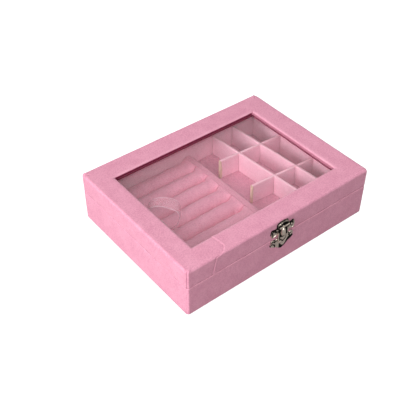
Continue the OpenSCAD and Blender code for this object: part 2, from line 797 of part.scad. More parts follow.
// A band of constant height that rises from a point in the middle to both sides
module chevron(half, low_z, rise, band) {
  polygon([[0, low_z], [half, low_z + rise], [half, low_z + rise + band],
           [0, low_z + band], [-half, low_z + rise + band], [-half, low_z + rise]]);
}
module hasp_outline() {
  polygon([[-barrel_half, hasp_pin_z], [-barrel_half, neck_z], [-hasp_half, wide_z],
           [-hasp_half, point_z], [0, hasp_tip_z], [hasp_half, point_z],
           [hasp_half, wide_z], [barrel_half, neck_z], [barrel_half, hasp_pin_z]]);
}
module latch_hasp() {
  nose_r = (barrel_half * barrel_half + nose_out * nose_out) / (2 * nose_out);
  color("dimgray") difference() {
    union() {
      on_front(hasp_back, hasp_front) difference() {
        hasp_outline();
        chevron(slot_half, slot_z, slot_rise, slot_open);
      }
      on_front(hasp_front, hasp_front + lip_out) chevron(hasp_half, hasp_tip_z, point_len, lip_t);
      intersection() {
        translate([latch_x, front_y - hasp_front - nose_out + nose_r, nose_low_z])
          cylinder(r = nose_r, h = nose_len);
        translate([latch_x - barrel_half, front_y - hasp_front - nose_out, nose_low_z])
          cube([2 * barrel_half, hasp_t + nose_out, nose_len]);
      }
      translate([latch_x - barrel_half, front_y - hasp_pin_out, hasp_pin_z]) rotate([0, 90, 0])
        cylinder(r = barrel_r, h = 2 * barrel_half);
    }
    hasp_pin_hole();
  }
}

// Lower plate: two ears, a pointed shield and the catch behind the hasp's slot
shield_top_share = 0.8;
shield_half_share = 0.85;
shield_z = base_nail_z - shield_len;
shield_side_z = base_nail_z - base_ear_r / 2;
shield_top_z = base_nail_z + base_ear_r * shield_top_share;
shield_half = nail_x + base_ear_r * shield_half_share;
module latch_lower_plate() {
  color("dimgray") difference() {
    union() {
      on_front(0, plate_t) {
        nail_ears(base_nail_z, base_ear_r);
        translate([-nail_x, shield_side_z]) square([2 * nail_x, shield_top_z - shield_side_z]);
        polygon([[-shield_half, shield_side_z], [0, shield_z], [shield_half, shield_side_z]]);
      }
      on_front(plate_t, hasp_back - catch_clear)
        chevron(slot_half - slot_open / 2, slot_z, slot_rise, slot_open);
    }
    on_front(-cut, plate_t + cut) nail_holes_2d(base_nail_z);
  }
}

base_front_board();
base_back_board();
base_left_board();
base_right_board();
base_bottom_board();
base_velvet_wrap();
bottom_panel();
liner_front();
liner_back();
liner_left();
liner_right();
floor_pad();
lid_front_board();
lid_back_board();
lid_left_board();
lid_right_board();
lid_top_front();
lid_top_back();
lid_top_left();
lid_top_right();
lid_velvet_wrap();
lid_lining();
glass_pane();
retainer_front();
retainer_back();
retainer_left();
retainer_right();
tray_board();
tray_left_rail();
tray_right_rail();
ring_roll_1();
ring_roll_2();
ring_roll_3();
ring_roll_4();
ring_roll_5();
ring_roll_6();
ring_roll_7();
ring_roll_8();
lift_loop();
long_divider_left();
long_divider_right();
cross_divider_back();
cross_divider_front();
hinge_left_base_leaf();
hinge_left_lid_leaf();
hinge_left_pin();
hinge_right_base_leaf();
hinge_right_lid_leaf();
hinge_right_pin();
hinge_screws_base();
hinge_screws_lid();
latch_upper_plate();
latch_hasp();
hasp_pin();
latch_lower_plate();
latch_nails_lid();
latch_nails_base();
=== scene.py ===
import bmesh
import bpy
import json
import math
import numpy as np
from mathutils import Matrix, Vector

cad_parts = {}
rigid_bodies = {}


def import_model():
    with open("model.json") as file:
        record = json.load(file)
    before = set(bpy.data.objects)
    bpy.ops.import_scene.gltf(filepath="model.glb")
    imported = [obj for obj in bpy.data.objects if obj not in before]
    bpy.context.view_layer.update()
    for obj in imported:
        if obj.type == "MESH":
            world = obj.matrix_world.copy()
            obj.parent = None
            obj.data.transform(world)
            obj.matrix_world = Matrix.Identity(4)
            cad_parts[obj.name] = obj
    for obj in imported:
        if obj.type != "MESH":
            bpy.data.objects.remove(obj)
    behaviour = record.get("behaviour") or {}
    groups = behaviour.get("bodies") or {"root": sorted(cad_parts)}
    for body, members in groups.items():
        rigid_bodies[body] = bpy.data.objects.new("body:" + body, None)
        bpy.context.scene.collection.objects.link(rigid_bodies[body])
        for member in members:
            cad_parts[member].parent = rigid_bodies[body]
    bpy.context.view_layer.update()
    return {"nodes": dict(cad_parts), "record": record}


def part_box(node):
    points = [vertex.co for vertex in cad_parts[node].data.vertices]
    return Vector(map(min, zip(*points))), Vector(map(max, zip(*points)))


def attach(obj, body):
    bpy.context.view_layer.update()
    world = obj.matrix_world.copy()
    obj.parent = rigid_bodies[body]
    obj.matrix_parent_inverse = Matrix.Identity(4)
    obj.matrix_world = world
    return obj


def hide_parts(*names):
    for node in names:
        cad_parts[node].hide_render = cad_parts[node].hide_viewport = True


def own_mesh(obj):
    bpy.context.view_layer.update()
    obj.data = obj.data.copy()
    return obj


# The velvet jewelry case in its looks. Shapes are worked out in millimetres in the shared frame:
# X along the long side, Y from the latch to the hinges, Z up.
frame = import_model()
MM = 0.001


def corners(node):
    """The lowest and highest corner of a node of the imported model, in millimetres."""
    low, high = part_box(node)
    return np.array(low) / MM, np.array(high) / MM


def add_object(name, data):
    """A new object in the scene."""
    obj = bpy.data.objects.new(name, data)
    bpy.context.scene.collection.objects.link(obj)
    return obj


# ---- camera

RIGHT = (0.77924, -0.62668, 0.00781)
DOWN = (-0.41554, -0.52595, -0.74210)
AHEAD = (0.46917, 0.57502, -0.67025)
EYE = (-0.33437, -0.38631, 0.46827)
FOCAL, VIEW_SIDE, SENSOR = 759.71, 416, 36  # the first two in pixels, the sensor in millimetres

camera = add_object("camera", bpy.data.cameras.new("camera"))
camera.data.sensor_width = SENSOR
camera.data.lens = FOCAL / VIEW_SIDE * SENSOR
camera.data.clip_start = 0.01
camera.data.clip_end = 20
turn = Matrix((RIGHT, [-v for v in DOWN], [-v for v in AHEAD])).transposed()
camera.matrix_world = Matrix.Translation(EYE) @ turn.to_4x4()
bpy.context.scene.camera = camera
bpy.context.scene.view_settings.view_transform = "Standard"

# ---- shader helpers


def put(tree, kind, settings=None, **inputs):
    """Adds a shader node, sets its fields, and gives each named input a number, a colour or a link."""
    node = tree.nodes.new("ShaderNode" + kind)
    for key, value in (settings or {}).items():
        setattr(node, key, value)
    for key, value in inputs.items():
        socket = node.inputs[int(key[1:]) if key[1:].isdigit() else key.replace("_", " ")]
        if isinstance(value, bpy.types.NodeSocket):
            tree.links.new(value, socket)
        else:
            socket.default_value = (*value, 1.0) if socket.type == "RGBA" else value
    return node


def mix_colour(tree, share, first, second):
    """First colour at share 0, second at share 1."""
    return put(tree, "Mix", {"data_type": "RGBA"}, i0=share, i6=first, i7=second).outputs[2]


def maths(tree, operation, first, second):
    return put(tree, "Math", {"operation": operation}, i0=first, i1=second).outputs[0]


def weighed(tree, *terms):
    """The sum of values, each times its weight."""
    total = 0.0
    for value, weight in terms:
        total = put(tree, "Math", {"operation": "MULTIPLY_ADD"}, i0=value, i1=weight, i2=total).outputs[0]
    return total


def ramp(tree, value, low, high, to_low=0.0, to_high=1.0):
    """A value moved smoothly from one range to another."""
    return put(tree, "MapRange", {"interpolation_type": "SMOOTHSTEP"}, Value=value, From_Min=low,
               From_Max=high, To_Min=to_low, To_Max=to_high).outputs[0]


def grain(tree, where, scale, detail=2.0, stretch=(1, 1, 1)):
    """Noise of a number of grains per metre, stretched along the axes."""
    moved = put(tree, "VectorMath", {"operation": "MULTIPLY"}, i0=where, i1=stretch).outputs[0]
    return put(tree, "TexNoise", Vector=moved, Scale=scale, Detail=detail, Roughness=0.55).outputs[0]


def new_group(name, colours, numbers, results):
    """An empty node group that takes a vector and named colours and numbers, and gives a colour and named
    results; returns it, the sockets that come in and those that go out."""
    group = bpy.data.node_groups.new(name, "ShaderNodeTree")
    for labels, side, kind in (("Vector", "INPUT", "Vector"), (colours, "INPUT", "Color"),
                               (numbers, "INPUT", "Float"), ("Color", "OUTPUT", "Color"),
                               (results, "OUTPUT", "Float")):
        for label in labels.split():
            group.interface.new_socket(name=label, in_out=side, socket_type="NodeSocket" + kind)
    return group, group.nodes.new("NodeGroupInput").outputs, group.nodes.new("NodeGroupOutput").inputs


def velvet_nap():
    """Short pile: broad patches where the nap lies another way, fine brush marks and the grain of the
    pile give the colour between a shade and a pile tone. Where painted sheen is marked the colour turns to a
    lighter highlight tone, a painted highlight; where deep is marked it turns to a dark tone, painted shade,
    and on the tray's rails an even darker tone."""
    group, came, out = new_group("velvet nap", "Pile Shade Rub Depth", "Patch Brush Rubbed Deep", "Height")
    where = came["Vector"]
    patch = grain(group, where, came["Patch"], 3.0)
    marks = grain(group, where, 520.0, 2.0, (1, 1, 0.5))
    pile = grain(group, where, 1000.0)
    speck = grain(group, where, 4200.0, 1.0)
    brushed = maths(group, "MULTIPLY", maths(group, "SUBTRACT", marks, 0.5), came["Brush"])
    tone = ramp(group, weighed(group, (patch, 0.2), (pile, 0.5), (speck, 0.3), (brushed, 1.0)), 0.41, 0.59)
    colour = mix_colour(group, tone, came["Shade"], came["Pile"])
    colour = mix_colour(group, came["Rubbed"], colour, came["Rub"])
    group.links.new(mix_colour(group, came["Deep"], colour, came["Depth"]), out["Color"])
    group.links.new(weighed(group, (pile, 0.5), (speck, 0.25), (marks, 0.35)), out["Height"])
    return group


def wear():
    """Dark tarnish in patches, and wherever patina and painted shade are marked, with fine scratches and
    pits.
    """
    group, came, out = new_group("tarnish", "Bright Dark", "Spread Recess", "Roughness Height")
    where = came["Vector"]
    patches = grain(group, where, 420.0, 4.0)
    pits = grain(group, where, 2600.0)
    scratch = grain(group, where, 900.0, 2.0, (0.12, 1, 1))
    pitted = maths(group, "SUBTRACT", pits, 0.5)
    tarnish_and_shade = weighed(group, (patches, 1.0), (came["Spread"], 1.0), (came["Recess"], 1.0), (pitted, 0.5))
    share = ramp(group, tarnish_and_shade, 0.45, 0.95)
    group.links.new(mix_colour(group, share, came["Bright"], came["Dark"]), out["Color"])
    rough = weighed(group, (share, 0.3), (scratch, 0.18))
    group.links.new(maths(group, "ADD", rough, 0.11), out["Roughness"])
    group.links.new(weighed(group, (pits, 0.4), (scratch, 0.6)), out["Height"])
    return group


def fibres():
    """Pressed fibres: short lines over soft clouds, between a light and a dark tone."""
    group, came, out = new_group("fibres", "Light Dark", "Fine", "Height")
    soft = grain(group, came["Vector"], 160.0, 3.0)
    lines = grain(group, came["Vector"], came["Fine"], 3.0, (1, 0.22, 1))
    share = ramp(group, weighed(group, (soft, 0.5), (lines, 0.5)), 0.38, 0.62)
    group.links.new(mix_colour(group, share, came["Dark"], came["Light"]), out["Color"])
    group.links.new(lines, out["Height"])
    return group


NAP, TARNISH, FIBRES = velvet_nap(), wear(), fibres()


def blank(name):
    """A material without nodes, and its tree."""
    made = bpy.data.materials.new(name)
    made.use_nodes = True
    made.node_tree.nodes.clear()
    return made, made.node_tree


def material(name, group, bump, depth, plain, **inputs):
    """A material whose colour, roughness and bump come from a group, with plain numbers on the shader's
    own sockets. Depth is the height of the bump in metres."""
    made, tree = blank(name)
    look = put(tree, "Group", {"node_tree": group}, Vector=put(tree, "TexCoord").outputs["Object"], **inputs)
    for label in ("Rubbed", "Deep", "Recess"):
        if label in look.inputs:
            mark = put(tree, "Attribute", {"attribute_name": label.lower()})
            tree.links.new(mark.outputs["Fac"], look.inputs[label])
    lift = put(tree, "Bump", Strength=bump, Distance=depth, Height=look.outputs["Height"])
    if "Roughness" in look.outputs:
        plain = {**plain, "Roughness": look.outputs["Roughness"]}
    skin = put(tree, "BsdfPrincipled", Base_Color=look.outputs["Color"], Normal=lift.outputs[0], **plain)
    put(tree, "OutputMaterial", Surface=skin.outputs[0])
    return made


def velvet(name, pile, shade, patch):
    """Velvet with a pile and a shade tone and a number of patches per metre."""
    plain = {"Roughness": 0.9, "Sheen_Weight": 0.35, "Sheen_Roughness": 0.4, "Sheen_Tint": (1.0, 0.72, 0.82),
             "Specular_IOR_Level": 0.12}
    # Highlight is the colour of painted sheen on edges, Depth the colour of painted shade in seams, creases
    # and bands.
    return material("rose velvet " + name, NAP, 0.5, 0.0004, plain, Pile=pile, Shade=shade,
                    Rub=(0.93, 0.52, 0.62), Depth=(0.20, 0.014, 0.05), Patch=patch, Brush=0.2)


def pressed(name, light, dark, fine, bump, depth, rough, shine):
    """Board or paper of pressed fibres, fine of them per metre."""
    return material(name, FIBRES, bump, depth, {"Roughness": rough, "Specular_IOR_Level": shine},
                    Light=light, Dark=dark, Fine=fine)


def nickel(name, bright, dark, spread):
    """Antique nickel, bright where worn smooth, dark with patina in its recesses and with painted shade where
    marked.
    """
    return material("antique nickel of the " + name, TARNISH, 0.3, 0.0001, {"Metallic": 1.0}, Bright=bright,
                    Dark=dark, Spread=spread)


def sheer_ribbon():
    """A thin sheer ribbon: fine threads along its length from its own UV map, woven edges that are
    lighter and less clear, and clouds of wear."""
    made, tree = blank("pink sheer ribbon")
    along = put(tree, "UVMap", {"uv_map": "ribbon"}).outputs[0]
    off = maths(tree, "SUBTRACT", put(tree, "SeparateXYZ", Vector=along).outputs[0], 0.5)
    edge = ramp(tree, maths(tree, "ABSOLUTE", off, 0.0), 0.4, 0.49)
    threads = grain(tree, along, 60.0, 2.0, (1, 0.05, 1))
    share = ramp(tree, weighed(tree, (threads, 0.6), (grain(tree, along, 6.0), 0.4)), 0.35, 0.65)
    colour = mix_colour(tree, share, (0.82, 0.33, 0.45), (0.94, 0.47, 0.59))
    colour = mix_colour(tree, edge, colour, (0.95, 0.60, 0.72))
    clear = weighed(tree, (edge, 0.3), (ramp(tree, threads, 0.3, 0.7, 0.25, 0.36), 1.0))
    lift = put(tree, "Bump", Strength=0.1, Distance=0.0001, Height=threads)
    skin = put(tree, "BsdfPrincipled", Base_Color=colour, Normal=lift.outputs[0], Roughness=0.25, Alpha=clear,
               Specular_IOR_Level=0.5, Coat_Weight=0.5, Coat_Roughness=0.15, Coat_IOR=1.6)
    put(tree, "OutputMaterial", Surface=skin.outputs[0])
    return made


def pane_glass():
    """Clear glass with the faintest smears; light that only shades or bounces goes straight through."""
    made, tree = blank("clear pane")
    smear = grain(tree, put(tree, "TexCoord").outputs["Object"], 30.0, 3.0, (1, 0.3, 1))
    skin = put(tree, "BsdfPrincipled", Base_Color=(0.985, 0.99, 0.985), IOR=1.45, Transmission_Weight=1.0,
               Roughness=ramp(tree, smear, 0.5, 0.8, 0.0, 0.015))
    path = put(tree, "LightPath").outputs
    passing = maths(tree, "MAXIMUM", path["Is Shadow Ray"], path["Is Diffuse Ray"])
    clear = put(tree, "BsdfTransparent", Color=(0.97, 0.98, 0.975))
    both = put(tree, "MixShader", i0=passing, i1=skin.outputs[0], i2=clear.outputs[0])
    put(tree, "OutputMaterial", Surface=both.outputs[0])
    return made


# The look of each material slot
LOOKS = {
    "outer_velvet": velvet("outside", (0.84, 0.395, 0.52), (0.70, 0.285, 0.40), 95.0),
    "lining_velvet": velvet("lining", (0.77, 0.34, 0.46), (0.62, 0.245, 0.35), 130.0),
    "tray_velvet": velvet("on the rolls", (0.90, 0.38, 0.51), (0.79, 0.295, 0.42), 70.0),
    # Lighter than the other velvets: painted light for the divider faces lit inside the case.
    "divider_velvet": velvet("on the dividers", (0.98, 0.57, 0.70), (0.90, 0.475, 0.605), 110.0),
    "board": pressed("raw grey board", (0.88, 0.64, 0.52), (0.72, 0.48, 0.37),
                     fine=2200.0, bump=0.4, depth=0.0002, rough=0.85, shine=0.2),
    "bottom_paper": pressed("dusty rose paper", (0.50, 0.23, 0.29), (0.40, 0.17, 0.22),
                            fine=1400.0, bump=0.35, depth=0.0001, rough=0.7, shine=0.3),
    "latch_metal": nickel("latch", (0.96, 0.83, 0.71), (0.02, 0.016, 0.015), -0.06),
    "hinge_metal": nickel("hinges", (0.52, 0.48, 0.43), (0.07, 0.06, 0.05), -0.05),
    "ribbon": sheer_ribbon(),
    "glass": pane_glass()}
# A lighter copy of the lining velvet for the inner walls: painted light for the light reaching them inside
# the case.
WALL_VELVET = velvet("on the inner walls", (0.97, 0.57, 0.69), (0.88, 0.465, 0.59), 80.0)

# ---- mesh helpers


def make_piece(name, points, slot, body, marks=None, faces=None, replaces=None, sharp=50, look=None,
               loop=False):
    """A mesh in the shared frame from points in millimetres and corner numbers, turned to face outwards.
    Without faces the points are closed rings that are joined and capped, or joined in a loop. Marks are
    values per point that the material reads."""
    if faces is None:
        rows, cols = points.shape[:2]
        faces = grid_faces(rows, cols, True, True) if loop else sweep_faces(rows, cols)
    mesh = bpy.data.meshes.new(name)
    mesh.from_pydata((np.reshape(points, (-1, 3)) * MM).tolist(), [], [list(map(int, f)) for f in faces])
    for key, values in (marks or {}).items():
        layer = mesh.attributes.new(key, "FLOAT", "POINT")
        layer.data.foreach_set("value", np.ravel(values).astype(np.float32))
    form = bmesh.new()
    form.from_mesh(mesh)
    if form.calc_volume(signed=True) < 0:
        bmesh.ops.reverse_faces(form, faces=form.faces)
    form.to_mesh(mesh)
    form.free()
    mesh.polygons.foreach_set("use_smooth", np.ones(len(mesh.polygons), bool))
    mesh.set_sharp_from_angle(angle=math.radians(sharp))
    mesh.materials.append(look or LOOKS[slot])
    obj = add_object(name, mesh)
    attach(obj, body)
    if replaces:
        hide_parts(replaces)
    return obj


def grid_faces(rows, cols, rows_close=False, cols_close=False):
    """Quads between the points of a grid, numbered row by row; a closed side joins its last to its first."""
    r = np.arange(rows if rows_close else rows - 1)[:, None]
    c = np.arange(cols if cols_close else cols - 1)[None, :]
    r1, c1 = (r + 1) % rows, (c + 1) % cols
    return np.stack([r * cols + c, r * cols + c1, r1 * cols + c1, r1 * cols + c], -1).reshape(-1, 4)


def sweep_faces(rings, around):
    """Quads between closed rings, with one face over each end."""
    faces = grid_faces(rings, around, cols_close=True).tolist()
    last = (rings - 1) * around
    return faces + [list(range(around))[::-1], [last + k for k in range(around)]]


def cloud(points, size, seed):
    """Smooth noise from -1 to 1: seeded random numbers on a cubic lattice of a size in millimetres,
    blended with a smooth step between the eight lattice points round each point."""
    table = np.random.default_rng(seed).uniform(-1, 1, 4096)
    at = np.asarray(points, float) / size
    cell = np.floor(at).astype(np.int64)
    part = smooth(at - cell)
    total = 0
    for corner in np.ndindex(2, 2, 2):
        mark = np.bitwise_xor.reduce((cell + corner) * (73856093, 19349663, 83492791), axis=-1)
        weight = np.abs(1 - np.array(corner) - part).prod(-1)
        total = total + weight * table[mark & 4095]
    return total


def smooth(value):
    """0 below 0, 1 above 1, and a smooth step between."""
    t = np.clip(value, 0, 1)
    return t * t * (3 - 2 * t)


def bell(distance, width):
    """1 at distance 0, falling off as a bell curve of a width."""
    return np.exp(-(distance / width) ** 2)


def half_round(value):
    """The height of a half circle: 1 at value 0, falling to 0 at value 1."""
    return np.sqrt(np.clip(1 - value ** 2, 0, 1))


def arc(x, y, r, start, end, count):
    """Points of an arc about (x, y), angles in degrees."""
    a = np.radians(np.linspace(start, end, count))
    return np.stack([x + r * np.cos(a), y + r * np.sin(a)], 1)


def line(x0, y0, x1, y1, count, ends=False):
    """Points of a straight line, with or without its two ends."""
    t = np.linspace(0, 1, count) if ends else np.linspace(0, 1, count + 2)[1:-1]
    return np.stack([x0 + (x1 - x0) * t, y0 + (y1 - y0) * t], 1)


def with_z(plane, z):
    """Points of a plane with their heights."""
    return np.concatenate([plane, np.broadcast_to(z, plane.shape[:-1])[..., None]], -1)


def unit(vectors):
    """Vectors scaled to length 1; those without length stay near 0."""
    return vectors / np.maximum(np.linalg.norm(vectors, axis=-1, keepdims=True), 1e-9)


def outward(points):
    """Unit normals of a grid closed both ways: the cross product of its two directions."""
    along, across = (np.roll(points, -1, side) - np.roll(points, 1, side) for side in (1, 0))
    return unit(np.cross(along, across))


# ---- velvet skins of lid and base

lid_low, lid_high = corners("lid_velvet_wrap")
base_low, base_high = corners("base_velvet_wrap")
top_front = corners("retainer_front")[1][1]
top_back = corners("retainer_back")[0][1]
top_left = corners("retainer_left")[1][0]
top_right = corners("retainer_right")[0][0]
WALL = corners("lid_left_board")[1][0] - lid_low[0]
STRIP = top_left - lid_low[0]
EXTRA = lid_high[0] - top_right - STRIP
ROUND, TOP_ROUND = 3.0, 2.3  # radius of the upright corners and of the lid's top edge
SKIN = 0.45  # thickness of the velvet at the rims
SHORT_SIDE, BACK_SIDE = np.linspace(0, 1, 102)[1:-1], np.linspace(0, 1, 135)[1:-1]
# The front has finer stations round the end of the glued join
FRONT_SIDE = np.concatenate([np.linspace(0, 0.118, 18)[1:], np.linspace(0.118, 0.235, 56)[1:],
                             np.linspace(0.235, 1, 104)[1:-1]])
# The glued join in the velvet runs from the window over the front edge and down the lid's front wall
JOIN = [(-60.2, -54.9, 50), (-58.6, -69.3, 50), (-63.2, -73.6, 49.7), (-71.2, -75, 48.2), (-74.6, -75, 31.9)]
JOIN_TUFT = (-74.6, -75, 29.3)
JOIN_SIDE = (0.87, -0.3, -0.4)


def wall_ring(inset, low, high, corner_r, extra=0.0):
    """Points round a rectangle with round corners, one ring per inset from the outside. Between the
    corners a point moves in a straight line from one corner's centre to the next. The sides at the
    right and the back are inset by extra more."""
    inset, extra, corner_r = np.broadcast_arrays(inset, extra, corner_r)
    x0, x1 = low[0] + inset + corner_r, high[0] - inset - extra - corner_r
    y0, y1 = low[1] + inset + corner_r, high[1] - inset - extra - corner_r
    middle = [np.stack(place, -1)[:, None] for place in ((x1, y0), (x1, y1), (x0, y1), (x0, y0))]
    out = []
    for c, shares in enumerate((SHORT_SIDE, BACK_SIDE, SHORT_SIDE, FRONT_SIDE)):
        way = arc(0, 0, 1, 90 * c - 90, 90 * c, 11)
        out.append(middle[c] + corner_r[:, None, None] * way)
        t = shares[None, :, None]
        out.append(middle[c] * (1 - t) + middle[(c + 1) % 4] * t + corner_r[:, None, None] * way[-1])
    return np.concatenate(out, 1)


def skin_points(outer, inner, low, high, hidden, extra=0.0):
    """Carries a profile of (inset, height) pairs, its outer side and then its inner one, round the case's
    outline. Returns the insets, the heights, the points, and 1 for each pair that shows: those of the
    outer side, apart from the hidden ones at its two ends."""
    inset, height = np.concatenate([outer, inner]).T[..., None]
    extra = extra * smooth((inset[:, 0] - TOP_ROUND) / (STRIP - 2 * TOP_ROUND))
    shown = np.zeros_like(inset)
    shown[hidden[0]:len(outer) - hidden[1]] = 1
    ring = wall_ring(inset[:, 0], low, high, np.maximum(ROUND - inset[:, 0], 0.5), extra)
    return inset, height, with_z(ring, height), shown


def near_line(points, stops):
    """Distance from each point to a line through stops, with a sign that is plus to its right and below."""
    best = np.full(points.shape[:-1], 1e9)
    side = np.zeros(points.shape[:-1])
    for a, b in zip(np.array(stops[:-1]), np.array(stops[1:])):
        t = np.clip(((points - a) @ (b - a)) / ((b - a) @ (b - a)), 0, 1)
        off = points - (a + t[..., None] * (b - a))
        far = np.linalg.norm(off, axis=-1)
        side = np.where(far < best, off @ np.array(JOIN_SIDE), side)
        best = np.minimum(far, best)
    return best * np.sign(side)


def corner_folds(points, low, high, depth):
    """A pressed fold along each upright corner: a groove on one side of it and a ridge on the other."""
    total = 0
    for x in (points[..., 0] - low[0], high[0] - points[..., 0]):
        for y in (points[..., 1] - low[1], high[1] - points[..., 1]):
            near = (np.abs(x) < 6) & (np.abs(y) < 6)
            total = total + near * depth * (0.8 * bell(x - y - 1.5, 0.7) - 1.2 * bell(x - y + 0.9, 0.55))
    return total


def fabric(points, seed):
    """Unevenness of glued velvet: the heights of swells of three sizes."""
    swells = ((0.1, 21), (0.06, 9), (0.05, 3.4))
    return sum(height * cloud(points, size, seed + k) for k, (height, size) in enumerate(swells))


def lid_velvet():
    """The lid's velvet: a profile from the inner rim round the lower edge, up the wall, round the top
    edge, across the top and down into the window, closed by the same path a skin thickness inside."""
    z0, z1 = lid_low[2], lid_high[2]
    pane = corners("glass_pane")[1][2]
    rim, top, edge, dip = 0.8, TOP_ROUND, 3.0, 1.3
    outer = np.concatenate([
        line(WALL, z0, rim, z0, 4), arc(rim, z0 + rim, rim, 270, 180, 7), line(0, z0 + rim, 0, z1 - top, 16),
        arc(top, z1 - top, top, 180, 90, 9), line(top, z1, STRIP - edge, z1, 14),
        arc(0, 0, 1, 90, 0, 11) * (edge, dip) + (STRIP - edge, z1 - dip),
        line(STRIP, z1 - dip, STRIP, pane + 0.05, 3)])
    inner = np.array([(STRIP, pane + 0.05), (STRIP - 0.3, pane + 0.05), (STRIP - 0.35, z1 - 1.2),
                      (STRIP - 3, z1 - 0.4), (top, z1 - 0.5), (1.0, z1 - 1.2), (0.5, z1 - top),
                      (0.5, z0 + rim), (rim, z0 + SKIN), (WALL, z0 + SKIN), (WALL, z0 + 0.1)])
    inset, height, points, shown = skin_points(outer, inner, lid_low, lid_high, hidden=(4, 2), extra=EXTRA)
    join = near_line(points, JOIN)
    lift = fabric(points, 11) + corner_folds(points, lid_low, lid_high, 0.4) - 0.3 * bell(join + 0.45, 0.45)
    lift = lift + 0.24 * smooth((join + 0.25) / 0.5) * np.exp(-np.maximum(join, 0) / 2.4)
    x, y, z = np.moveaxis(points, -1, 0)
    for corner_x, corner_y, pucker in ((top_right, top_back, 0.22), (top_left, top_back, 0.12),
                                       (top_right, top_front, 0.12), (top_left, top_front, 0.16)):
        far = np.hypot(x - corner_x, y - corner_y)
        angle = np.arctan2(y - corner_y, x - corner_x)
        lift = lift + pucker * np.sin(11 * angle + corner_x) * bell(far - 2.4, 2.6) * (z > z1 - 1.2)
    points = points + outward(points) * (lift * shown)[..., None]
    x, y, z = np.moveaxis(points, -1, 0)
    # Painted shade where deep is marked: the band down the window's wall under the top's edge (lighter at the
    # right edge, where the left light falls), the seam along the lid's lower edge, the fold at the front left
    # corner and the groove beside the glued join.
    deep = smooth((z1 - 0.55 - z) / 0.6) * (inset > STRIP - 1.2) * np.where(x > top_right - 1.5, 0.45, 1)
    deep = np.maximum(deep, 0.6 * smooth((z0 + 0.75 - z) / 0.6))
    near = (x < lid_low[0] + 4) & (y < lid_low[1] + 4) & (z < z1 - 0.8)
    deep = np.maximum(deep, 0.55 * bell(x - lid_low[0] - y + lid_low[1] + 0.9, 0.55) * near)
    deep = np.maximum(deep, 0.22 * bell(join + 0.5, 0.5) * (z < z1 - 1.0))
    # Painted highlight: lighter along the window's edge and on the ridge beside the glued join, with random
    # variation.
    rubbed = 0.4 * bell(np.hypot(inset - STRIP + 1.2, height - (z1 - 0.3)), 1.2) + 0.2 * bell(join - 0.5, 0.5)
    rubbed = np.clip(rubbed, 0, 1) * (0.7 + 0.4 * cloud(points, 6, 77))
    make_piece("lid_velvet", points, "outer_velvet", "lid", {"deep": deep, "rubbed": np.clip(rubbed, 0, 1)},
               replaces="lid_velvet_wrap", loop=True)


def base_velvet():
    """The base's velvet: a profile from the inner rim over the rim, down the wall, round the lower edge
    and in under the base, closed by the same path a skin thickness inside."""
    z0, z1 = base_low[2], base_high[2]
    rim, foot, under = 0.8, 1.5, 12
    outer = np.concatenate([
        line(under, z0, foot, z0, 5), arc(foot, z0 + foot, foot, 270, 180, 7),
        line(0, z0 + foot, 0, z1 - rim, 22), arc(rim, z1 - rim, rim, 180, 90, 7), line(rim, z1, WALL, z1, 4)])
    inner = np.array([(WALL, z1 - 0.05), (WALL, z1 - SKIN), (rim, z1 - SKIN), (0.5, z1 - rim),
                      (0.5, z0 + foot), (foot, z0 + 0.5), (under, z0 + 0.5), (under, z0 + 0.05)])
    inset, height, points, shown = skin_points(outer, inner, base_low, base_high, hidden=(6, 3))
    tuft = bell(np.linalg.norm(points - np.array(JOIN_TUFT), axis=-1), 0.8)
    lift = fabric(points, 31) + corner_folds(points, base_low, base_high, 0.3) + 0.45 * tuft
    lift = lift * np.where(points[..., 2] > z0 + 1.2, 1, 0.3)
    points = points + outward(points) * (lift * shown)[..., None]
    points[..., 2] = np.maximum(points[..., 2], z0)
    # Painted highlight: lighter along the rim's upper edge, mostly at the front, and on the tuft at the foot
    # of the glued join.
    edge_sheen = 0.22 * bell(np.hypot(inset - 0.25, height - (z1 - 0.4)), 0.9)
    edge_sheen = edge_sheen * np.where(points[..., 1] < base_low[1] + 1.5, 1, 0.15)
    rubbed = np.clip(edge_sheen + 0.8 * tuft, 0, 1) * (0.75 + 0.4 * cloud(points, 7, 78))
    # Painted shade: the top of the rim, under the lid's seam, is darker.
    deep = 0.5 * smooth((points[..., 2] - z1 + 0.12) / 0.1) * shown
    make_piece("base_velvet", points, "outer_velvet", "base", {"rubbed": np.clip(rubbed, 0, 1), "deep": deep},
               replaces="base_velvet_wrap", loop=True)


lid_velvet()
base_velvet()

# ---- boards lined with velvet


